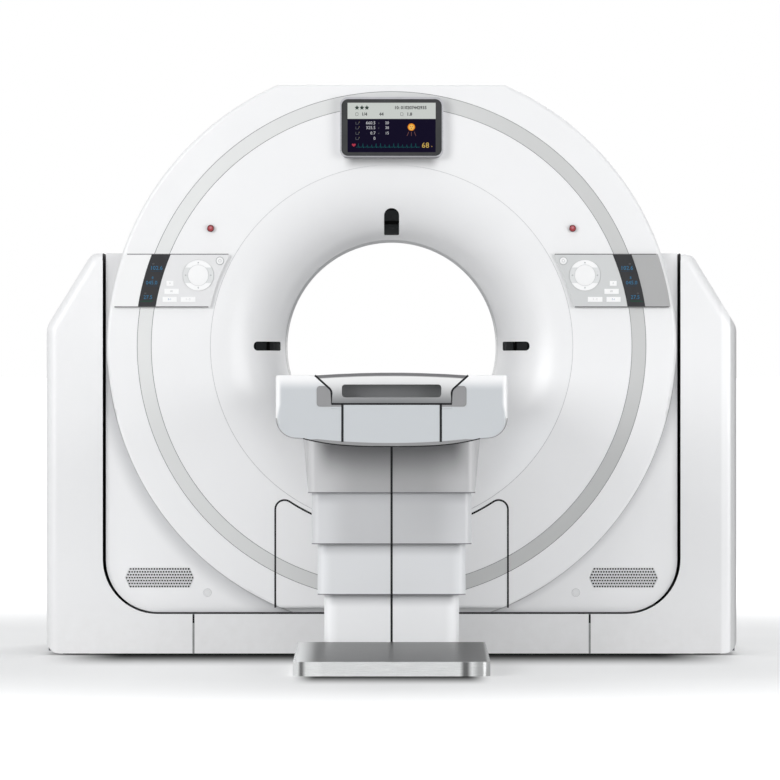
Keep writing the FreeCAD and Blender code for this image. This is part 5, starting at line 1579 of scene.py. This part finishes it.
def ring_tree() -> CopyTree:
    """A tree that sets copies in a ring about an axis along Y, each turned to face outwards.

    Returns:
        The tree.
    """
    tree = CopyTree("ring of copies", Count="Int", Radius="Float", Start="Float")
    count, radius, start = (tree.inputs[label] for label in ("Count", "Radius", "Start"))
    angle = tree.node("GeometryNodeInputIndex") * math.tau / count + start
    points = tree.points(count, tree.maths("COSINE", angle) * radius, tree.maths("SINE", angle) * radius)
    tree.end(points, tree.node("ShaderNodeCombineXYZ", values={"Y": angle * -1.0}))
    return tree


def hole_tree() -> CopyTree:
    """A tree that sets copies in staggered rows, one fewer in each row away from the middle one.

    Returns:
        The tree.
    """
    tree = CopyTree("rows of copies", Rows="Int", Columns="Int", Pitch="Float", Rise="Float")
    rows, columns, pitch, rise = (tree.inputs[label] for label in ("Rows", "Columns", "Pitch", "Rise"))
    index = tree.node("GeometryNodeInputIndex")
    row = tree.maths("FLOOR", (index + 0.5) / columns)
    level = row - (rows - 1) * 0.5
    step = index - row * columns - (columns - 1) * 0.5 + tree.maths("MODULO", abs(level), 2.0) * 0.5
    placed = tree.points(rows * columns, step * pitch, level * rise)
    outside = tree.maths("GREATER_THAN", abs(step), columns * 0.5 - abs(level) * 0.5)
    tree.end(tree.node("GeometryNodeDeleteGeometry", values={"Geometry": placed, "Selection": outside}))
    return tree


@dataclass
class Vents:
    """The two perforated grilles in the shoulder, each with seven staggered rows of holes.

    Attributes:
        centre: x and z of the right grille's middle.
        half_width: half its width at mid height.
        flat_half: half its width at the top and bottom.
        half_height: half its height.
        thick: its thickness.
        hole: the holes' radius.
        pitch: the distance between holes in a row.
        rise: the distance between rows.
        rows: how many rows.
        columns: how many holes the middle row has.
        form: the grilles' mesh.
    """

    centre: Flat = (0.777, 0.259)
    half_width: float = 0.1137
    flat_half: float = 0.0997
    half_height: float = 0.0327
    thick: float = 0.006
    hole: float = 0.0032
    pitch: float = 0.0088
    rise: float = 0.00975
    rows: int = 7
    columns: int = 26
    form: Form = field(default_factory=Form)

    @property
    def cell(self) -> Flat:
        """Half a cell's width and height."""
        return self.pitch / 2, self.hole + 0.0006

    def tile(self) -> Form:
        """One cell of the grille: a square face round a hole with a short collar.

        Returns:
            The cell's form.
        """
        form = Form()
        rim = circle((0.0, 0.0), self.hole, 12)
        shares = [max(abs(x) / self.cell[0], abs(z) / self.cell[1]) for x, z in rim]
        square = [(x / share, z / share) for (x, z), share in zip(rim, shares)]
        form.loft([at_depth(square, 0.0), at_depth(rim, 0.0), at_depth(rim, 0.0015)])
        return form

    def reach(self, z: float) -> float:
        """Half the grille's width at a height above or below its middle."""
        return self.half_width - (self.half_width - self.flat_half) * abs(z) / self.half_height

    def band(self, low: tuple[float, float, float], high: tuple[float, float, float]) -> None:
        """Adds one flat strip of the face, from its left and right end and height below and above."""
        corners = ((low[0], low[2]), (low[1], low[2]), (high[1], high[2]), (high[0], high[2]))
        self.form.face([(self.centre[0] + x, SHOULDER_Y, self.centre[1] + z) for x, z in corners])

    def ground(self) -> None:
        """The plain parts of the face between and beside the rows of cells, the sides, and the dark back, a painted
        shade behind the holes.
        """
        low = -self.half_height
        for row in range(self.rows):
            level = row - (self.rows - 1) / 2
            end = (self.columns - abs(level)) * self.pitch / 2
            foot, head = level * self.rise - self.cell[1], level * self.rise + self.cell[1]
            self.band((-self.reach(low), self.reach(low), low), (-self.reach(foot), self.reach(foot), foot))
            self.band((-self.reach(foot), -end, foot), (-self.reach(head), -end, head))
            self.band((end, self.reach(foot), foot), (end, self.reach(head), head))
            low = head
        self.band((-self.reach(low), self.reach(low), low), (-self.flat_half, self.flat_half, self.half_height))
        shares = ((-self.half_width, 0), (-self.flat_half, -1), (self.flat_half, -1), (self.half_width, 0),
                  (self.flat_half, 1), (-self.flat_half, 1))
        outline = [(self.centre[0] + x, self.centre[1] + self.half_height * share) for x, share in shares]
        # Painted shade: the dark back behind the holes stands for the shade inside the vent.
        back = at_depth(outline, SHOULDER_Y + self.thick)
        self.form.loft([back, at_depth(outline, SHOULDER_Y)])
        self.form.face(back, 1)

    def build(self) -> None:
        """Builds both grilles as one piece."""
        place = (self.centre[0], SHOULDER_Y, self.centre[1])
        self.form.add(hole_tree().grow(self.tile(), COVER_WHITE, Rows=self.rows, Columns=self.columns,
                                       Pitch=self.pitch, Rise=self.rise, Centre=place))
        self.ground()
        self.form.mirror()
        self.form.piece("perforated_vents", Body.GANTRY, [COVER_WHITE, GASKET_BLACK], ["vent_grilles"])


@dataclass
class Ring:
    """A ring of fasteners.

    Attributes:
        name: the piece's name.
        body: the body that it rides on.
        finish: the fasteners' metal.
        radius: the ring's radius about the bore's axis.
        y: y of the face that they sit on.
        count: how many there are.
        start: the first one's angle in degrees.
        size: a head's radius.
        height: a head's height.
        sides: 6 for a hexagon head, more for a round one.
    """

    name: str
    body: Body
    finish: Finish
    radius: float
    y: float
    count: int
    start: float
    size: float
    height: float
    sides: int = 6

    def head(self) -> Form:
        """One fastener with a chamfered head and a socket in it, standing on y = 0.

        Returns:
            The fastener's form.
        """
        form = Form()
        rows = ((1.0, 0.0), (1.0, 0.7), (0.85, 1.0), (0.45, 1.0), (0.40, 0.4), (0.0, 0.4))
        form.lathe([(self.size * share, self.height * rise) for share, rise in rows], (0.0, 0.0), self.sides)
        bmesh.ops.reverse_faces(form.mesh, faces=form.mesh.faces[:])
        return form

    def build(self) -> None:
        """Sets the fasteners."""
        form = Form()
        form.add(ring_tree().grow(self.head(), self.finish, Count=self.count, Radius=self.radius,
                                  Centre=(0.0, self.y, AXIS_Z), Start=math.radians(self.start)))
        form.piece(self.name, self.body, [self.finish])


FASTENERS = (
    Ring("rear_cover_screws", Body.GANTRY, RIM_SILVER, 0.915, 0.480, 8, 22.5, 0.0065, 0.0016, 16),
    Ring("rear_funnel_screws", Body.GANTRY, RIM_SILVER, 0.632, 0.480, 12, 15.0, 0.0050, 0.0014, 16),
    Ring("outer_race_bolts", Body.GANTRY, BEARING_STEEL, 0.622, 0.200, 24, 7.5, 0.0090, 0.0080),
    Ring("inner_race_bolts", Body.ROTOR, BEARING_STEEL, 0.568, 0.1597, 36, 5.0, 0.0080, 0.0070),
)


# ---------------------------------------------------------------- table

@dataclass
class Stage:
    """The seam down the front and back of one column stage, in its groove.

    Attributes:
        level: the stage's number, from the lowest.
        body: its body.
        half_depth: half its depth.
        foot: z of its lower end.
        head: z of its upper end.
        centre_y: y of the column's middle.
        half_width: half the seam's width.
        proud: how far the seam's face lies before the stage's.
        groove: how deep the groove is.
    """

    level: int
    body: Body
    half_depth: float
    foot: float
    head: float
    centre_y: float = -0.975
    half_width: float = 0.0036
    proud: float = 0.0003
    groove: float = 0.0024

    def build(self) -> None:
        """Lays a black strip in the groove on each side."""
        form = Form()
        for side in (-1, 1):
            face = self.centre_y + side * (self.half_depth + self.proud)
            floor = self.centre_y + side * (self.half_depth - self.groove)
            path = [(x * -side, y) for x, y in ((-self.half_width, floor), (-self.half_width, face),
                                                (self.half_width, face), (self.half_width, floor))]
            form.loft([at_height(path, self.foot), at_height(path, self.head)], closed=False)
        form.piece(f"column_seam_{self.level}", self.body, [GASKET_BLACK])


COLUMN = (Stage(1, Body.STAND, 0.185, 0.0762, 0.2778), Stage(2, Body.STAGE_2, 0.206, 0.2292, 0.4298),
          Stage(3, Body.STAGE_3, 0.225, 0.3932, 0.5798), Stage(4, Body.TABLE, 0.237, 0.5582, 0.7435))


@dataclass
class TableEnd:
    """The black seams beside the table's end panel, the tongues under the cradle, and the lip along the foot.

    Attributes:
        seam_x: x of the right seam.
        width: a seam's width.
        crown: z where the seams end at the cradle.
        keel: z of the table's underside at the seams.
        gap: the width of the dark gap round the cradle.
        waist: x and z where the gap turns outwards.
        waist_bend: the radius of that turn.
        rim_x: x where it meets the table's top.
        shelf: z of the tongues' lower edge.
        inlay_foot: z of the grey inlays' lower edge.
        half_width: half the table's width.
        corner: the radius of its lower corners.
        corner_z: z of their centres.
        side_rise: how far the underside rises to each side.
        keel_z: z of the underside in the middle.
        keel_radius: the radius of its bend there.
        lip_reach: half the lip's length.
        lip_drop: how far the lip hangs below the underside in the middle.
        lip_bend: how its foot rises with the cube of the distance from the middle.
        lip_crown: how its head rises with the square of that distance.
        lip_fade: the length over which it runs out at each end.
    """

    seam_x: float = 0.1455
    width: float = 0.0070
    crown: float = 0.8525
    keel: float = 0.7410
    gap: float = 0.0058
    waist: Flat = (0.1778, 0.8950)
    waist_bend: float = 0.020
    rim_x: float = 0.2268
    shelf: float = 0.8395
    inlay_foot: float = 0.8450
    half_width: float = 0.343
    corner: float = 0.060
    corner_z: float = 0.8113
    side_rise: float = 0.028
    keel_z: float = 0.7310
    keel_radius: float = 0.900
    lip_reach: float = 0.262
    lip_drop: float = 0.0052
    lip_bend: float = 1.31
    lip_crown: float = 0.24
    lip_fade: float = 0.035

    def seams(self) -> None:
        """Lays both seams and the dark gap round the cradle's end."""
        form = Form()
        face = TABLE_NEAR_Y - 0.0003
        form.ribbon([(self.seam_x, self.keel), (self.seam_x, self.crown)], self.width, face, TABLE_NEAR_Y + 0.002)
        form.mirror()
        bend = arc((self.waist[0] + self.waist_bend, self.waist[1] - 0.010), self.waist_bend, 180, 135, 6)
        side = [(self.rim_x, TABLE_TOP), *bend[::-1], (self.waist[0], self.crown + 0.001)]
        form.ribbon(side + [(-x, z) for x, z in reversed(side)], self.gap, face, TABLE_NEAR_Y + 0.003)
        form.piece("table_end_seams", Body.TABLE, [GASKET_BLACK])

    def tongues(self) -> None:
        """Closes the covers' ends under the cradle with a grey tongue on each side."""
        form = Form()
        inner, outer = self.seam_x + 0.0008, self.waist[0] + 0.0012
        for foot, head, slot in ((self.shelf, self.inlay_foot, 0), (self.inlay_foot, self.crown, 1)):
            form.plate([(inner, foot), (outer, foot), (outer, head), (inner, head)], TABLE_NEAR_Y,
                       TABLE_NEAR_Y + 0.004, slot)
        form.mirror()
        form.piece("inlay_tongues", Body.TABLE, [TABLE_WHITE, INLAY_GREY])

    def keel_at(self, x: float) -> float:
        """The height of the end's lower edge at a distance from the middle.

        Args:
            x: the distance.

        Returns:
            The height, z.
        """
        radius, slope = self.keel_radius, self.side_rise / self.half_width
        bend = min(abs(x), radius * math.sin(math.atan(slope)))
        return self.keel_z + radius - math.sqrt(radius ** 2 - bend * bend) + (abs(x) - bend) * slope

    def corner_line(self, inset: float) -> list[Flat]:
        """The end's outline round its lower right corner as far as the deeper lip, moved inwards.

        Args:
            inset: how far it is moved.

        Returns:
            The line's points in x and z.
        """
        slope = math.degrees(math.atan(self.side_rise / self.half_width))
        line = arc((self.half_width - self.corner, self.corner_z), self.corner - inset, 0, slope - 90, 10)
        return line + [(self.lip_reach - 0.004, self.keel_at(self.lip_reach - 0.004) + inset)]

    def lip(self) -> None:
        """The thin dark edge round the end's lower corners, and the deeper grey lip between them, painted shade along
        the end's lower edge.
        """
        # Painted shade: the lip's greys and dark lines stand for the shaded underside along the end's lower edge.
        form = Form()
        face, back, count = TABLE_NEAR_Y - 0.0002, TABLE_NEAR_Y + 0.012, 24
        form.ribbon(self.corner_line(0.0014), 0.0026, face, TABLE_NEAR_Y + 0.001, 3)
        form.mirror()
        rows, line = [], []
        for step in range(count + 1):
            x = self.lip_reach * (step / count * 2 - 1)
            foot = min(self.keel_z - self.lip_drop + self.lip_bend * abs(x) ** 3, self.keel_at(x)) + 0.0001
            share = min(1.0, (self.lip_reach - abs(x)) / self.lip_fade)
            head = foot + (self.keel_z + 0.0068 + self.lip_crown * x * x - foot) * share + 0.0002
            profile = ((back, foot), (face, foot), (face, foot + (head - foot) * 0.45), (face, head), (back, head))
            rows.append([(x, y, z) for y, z in profile])
            line.append((x, foot + 0.0017))
        for near, far in zip(rows, rows[1:]):
            for index, slot in enumerate((1, 1, 0, 0)):
                form.face([near[index], far[index], far[index + 1], near[index + 1]], slot)
        form.ribbon(line, 0.0034, face - 0.0002, face, 2)
        form.piece("table_end_lip", Body.TABLE, [INLAY_GREY, LIP_GREY, GASKET_BLACK, INLAY_GREY])

    def build(self) -> None:
        """Builds the seams, the tongues and the lip."""
        self.seams()
        self.tongues()
        self.lip()


@dataclass
class Cradle:
    """The cradle with a softly rounded near end."""

    rounding: float = 0.006

    def build(self) -> None:
        """Rounds the near end's edges."""
        form = softened("cradle", self.rounding, 4, 25.0,
                        lambda edge: all(vert.co.y < TABLE_NEAR_Y + 0.001 for vert in edge.verts))
        form.piece("cradle_body", Body.CRADLE, [CRADLE_GREY], ["cradle"], 30.0, True)


@dataclass
class Foot:
    """The metal foot with softly rounded edges, and the column's low plinth on it.

    Attributes:
        rounding: the radius of the foot's upper edges.
        column_front: y where the foot's top is highest.
        rear: y of the foot's rear end.
        top: z of its highest line.
        rear_top: z of its top at the rear end.
        plinth: the plinth's middle and half its width and depth.
    """

    rounding: float = 0.014
    column_front: float = -1.160
    rear: float = -0.740
    top: float = 0.076
    rear_top: float = 0.055
    plinth: tuple[Flat, Flat] = ((0.0, -0.975), (0.2165, 0.1835))

    def slope(self, point: Vector) -> None:
        """Lowers a point of the top behind the column's front.

        Args:
            point: the point, which is changed.
        """
        if point.z > 0.05 and point.y > self.column_front + 0.001:
            share = (point.y - self.column_front) / (self.rear - self.column_front)
            point.z += (self.rear_top - self.top) * share

    def upper(self, edge: bmesh.types.BMEdge) -> bool:
        """Whether an edge belongs to the foot's outer upper rim or its corners.

        Args:
            edge: the edge.

        Returns:
            Whether it is rounded.
        """
        ends = [vert.co for vert in edge.verts]
        return max(end.z for end in ends) > 0.040 and all(abs(end.x) > 0.28 or not -1.80 <= end.y <= -0.77
                                                          for end in ends)

    def build(self) -> None:
        """Rounds the foot's upper edges and sets the plinth on it."""
        form = softened("foot_plate", self.rounding, 5, 20.0, self.upper, self.slope)
        form.piece("foot_cover", Body.STAND, [FOOT_STEEL], ["foot_plate"], 40.0, True)
        plinth = Form()
        outline = rounded(*self.plinth, 0.024)
        plinth.loft([at_height(outline, self.rear_top), at_height(outline, self.top)])
        plinth.piece("column_plinth", Body.STAND, [COLUMN_1])


@dataclass
class StandSeams:
    """The black seams between the front skirt and the corner covers, and the dark lip along the skirt's top, a painted
    shadow in the gap under the tilting body.

    Attributes:
        seam_x: x of the right seam.
        width: its width.
        foot: z of its lower end.
        change: z where its paler lower part ends.
        head: z of its upper end.
        lip_reach: half the lip's length.
        lip_z: z of its middle.
        lip_width: its width.
    """

    seam_x: float = 0.663
    width: float = 0.0068
    foot: float = 0.0062
    change: float = 0.108
    head: float = 0.1375
    lip_reach: float = 0.815
    lip_z: float = 0.1408
    lip_width: float = 0.0062

    def build(self) -> None:
        """Lays the seams and the lip at the front."""
        # Painted shadow: a dark strip along the skirt's top stands for the shade in the gap under the tilting body.
        lip = Form()
        lip.ribbon([(-self.lip_reach, self.lip_z), (self.lip_reach, self.lip_z)], self.lip_width,
                   STAND_FRONT_Y + 0.0025, STAND_FRONT_Y + 0.0100)
        lip.piece("skirt_lip", Body.STAND, [GAP_SHADOW_DARK])
        form = Form()
        for foot, head, slot in ((self.foot, self.change, 1), (self.change, self.head, 0)):
            form.ribbon([(self.seam_x, foot), (self.seam_x, head)], self.width, STAND_FRONT_Y - 0.0003,
                        STAND_FRONT_Y + 0.003, slot)
        form.mirror()
        form.piece("skirt_seams", Body.STAND, [GASKET_BLACK, LIP_GREY])


# ---------------------------------------------------------------- studio

class WorldTree(ShadeTree):
    """The world's node tree."""

    def __init__(self, name: str) -> None:
        """Makes an empty world and puts it round the scene.

        Args:
            name: the world's name.
        """
        world = bpy.data.worlds.new(name)
        world.use_nodes = True
        bpy.context.scene.world = world
        self.nodes, self.links = world.node_tree.nodes, world.node_tree.links
        self.nodes.clear()
        self.output = self.nodes.new("ShaderNodeOutputWorld")


@dataclass
class Studio:
    """The camera, the lamps, the floor and the white surroundings.

    Attributes:
        distance: from the camera to the gantry's front plane.
        eye_height: the camera's height above the floor.
        focal_pixels: the lens's focal length in pixels of the photograph's frame.
        frame_pixels: the frame's side in pixels.
        centre_column: the pixel column of the scanner's middle plane.
        horizon_row: the pixel row of the horizon.
        sensor: the sensor's width in millimetres.
        lamps: each soft box's name, place, the point it faces, its side in metres and its power in watts.
        ambience: the strength of the even light from all round.
        floor_reach: half the floor's side.
        floor_glow: how far the floor shows white by itself.
        footprints: half the width, the front and the back of what stands on the floor, and the reach of its painted
            shadow.
    """

    distance: float = 20.0
    eye_height: float = 0.948
    focal_pixels: float = 5970.0
    frame_pixels: float = 780.0
    centre_column: float = 391.6
    horizon_row: float = 372.0
    sensor: float = 36.0
    lamps: tuple[tuple[str, Point, Point, float, float], ...] = (
        ("key", (-5.4, -7.0, 2.9), (0.0, 0.0, 0.8), 4.0, 318.0),
        ("fill", (5.0, -6.0, 1.4), (0.0, 0.0, 0.7), 4.0, 204.0),
        ("top", (0.0, -1.5, 6.5), (0.0, 0.0, 1.0), 5.0, 48.0),
        ("back", (1.5, 6.5, 5.0), (0.0, 0.0, 1.0), 4.0, 200.0))
    ambience: float = 0.42
    floor_reach: float = 900.0
    floor_glow: float = 0.19
    footprints: tuple[tuple[float, float, float, float], ...] = ((1.150, -0.458, 0.458, 0.8),
                                                                 (0.304, -1.840, -0.740, 0.55))

    def camera(self) -> None:
        """Puts the camera level at the photograph's place, with a small shift for its framing."""
        data = bpy.data.cameras.new("camera")
        data.sensor_width = self.sensor
        data.lens = self.focal_pixels / self.frame_pixels * self.sensor
        data.shift_x = 0.5 - self.centre_column / self.frame_pixels
        data.shift_y = self.horizon_row / self.frame_pixels - 0.5
        data.clip_end = 2000.0
        camera = bpy.data.objects.new("camera", data)
        camera.location = (0.0, SHOULDER_Y - self.distance, self.eye_height)
        camera.rotation_euler = (math.radians(90.0), 0.0, 0.0)
        bpy.context.scene.collection.objects.link(camera)
        bpy.context.scene.camera = camera

    def light(self) -> None:
        """Hangs the soft boxes: the main one at the upper left, in front."""
        for name, place, aim, size, power in self.lamps:
            data = bpy.data.lights.new(name, "AREA")
            data.size, data.energy = size, power
            lamp = bpy.data.objects.new(name, data)
            lamp.location = place
            lamp.rotation_euler = (Vector(aim) - Vector(place)).to_track_quat("-Z", "Y").to_euler()
            bpy.context.scene.collection.objects.link(lamp)

    def surroundings(self) -> None:
        """Lights the world evenly, and shows it white to the camera, in reflections and through glass."""
        tree = WorldTree("studio")
        seen, through, glossy = (tree.node("ShaderNodeLightPath", output=f"Is {kind} Ray")
                                 for kind in ("Camera", "Transmission", "Glossy"))
        ambient, white = (tree.node("ShaderNodeBackground", values={"Color": colour, "Strength": strength})
                          for colour, strength in (((0.96, 0.98, 1.0), self.ambience), ((1.0, 1.0, 1.0), 1.0)))
        shown = seen.greatest(through).greatest(glossy)
        mix = tree.node("ShaderNodeMixShader", values={0: shown, 1: ambient, 2: white})
        tree.feed(tree.output.inputs["Surface"], mix)

    def floor(self) -> None:
        """Lays a plain pale floor that shows white but keeps the scanner's shadow, with a painted shadow under and
        before each footprint for the camera alone.
        """
        reach = self.floor_reach
        mesh = bpy.data.meshes.new("studio_floor")
        mesh.from_pydata([(-reach, -reach, 0.0), (reach, -reach, 0.0), (reach, reach, 0.0), (-reach, reach, 0.0)],
                         [], [(0, 1, 2, 3)])
        floor = bpy.data.objects.new("studio_floor", mesh)
        bpy.context.scene.collection.objects.link(floor)
        tree = ShadeTree("floor white")
        x, y, _ = tree.axes()
        light = 1.0
        # Painted shadow: the floor darkens under and before each footprint, for camera rays alone.
        for half, front, back, shade in self.footprints:
            clear = (front - y).above(shade / 2, shade / 2).greatest((y - back).above(0.12, 0.12))
            light = (1 - (1 - clear) * abs(x).below(half - half * 0.1, half * 0.13) * 0.96) * light
        camera_ray = tree.node("ShaderNodeLightPath", output="Is Camera Ray")
        light = 1 - camera_ray * (1 - light)
        ground = tree.blend(tree.noise(1.5), (0.78, 0.78, 0.78), (0.81, 0.81, 0.81))
        tree.set(Base_Color=tree.blend(light, (0.0, 0.0, 0.0), ground), Roughness=0.9, Specular_IOR_Level=0.0)
        far = tree.away(x, y).above(4.0, 2.0)
        glow = tree.node("ShaderNodeEmission", values={"Strength": camera_ray * light * (far * 0.7 + self.floor_glow)})
        both = tree.node("ShaderNodeAddShader", values={0: Shade(tree, tree.shader.outputs[0]), 1: glow})
        tree.feed(tree.output.inputs["Surface"], both)
        mesh.materials.append(tree.material)

    def build(self) -> None:
        """Sets up the whole studio."""
        bpy.context.scene.view_settings.view_transform = "Standard"
        self.camera()
        self.light()
        self.surroundings()
        self.floor()


def main() -> None:
    """Dresses the nodes and builds every sub-assembly's fine pieces."""
    for finish, names in NODE_FINISHES.items():
        for name in names:
            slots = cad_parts[name].data.materials
            slots.clear()
            slots.append(finish.material())
    for part in (DiscFace(), Display(), PanelMarks(1), PanelMarks(-1), Vents(), *FASTENERS, *COLUMN, TableEnd(),
                 Cradle(), Foot(), StandSeams(), Studio()):
        part.build()
        log.info("built: %s", type(part).__name__)


if __name__ == "__main__":
    main()
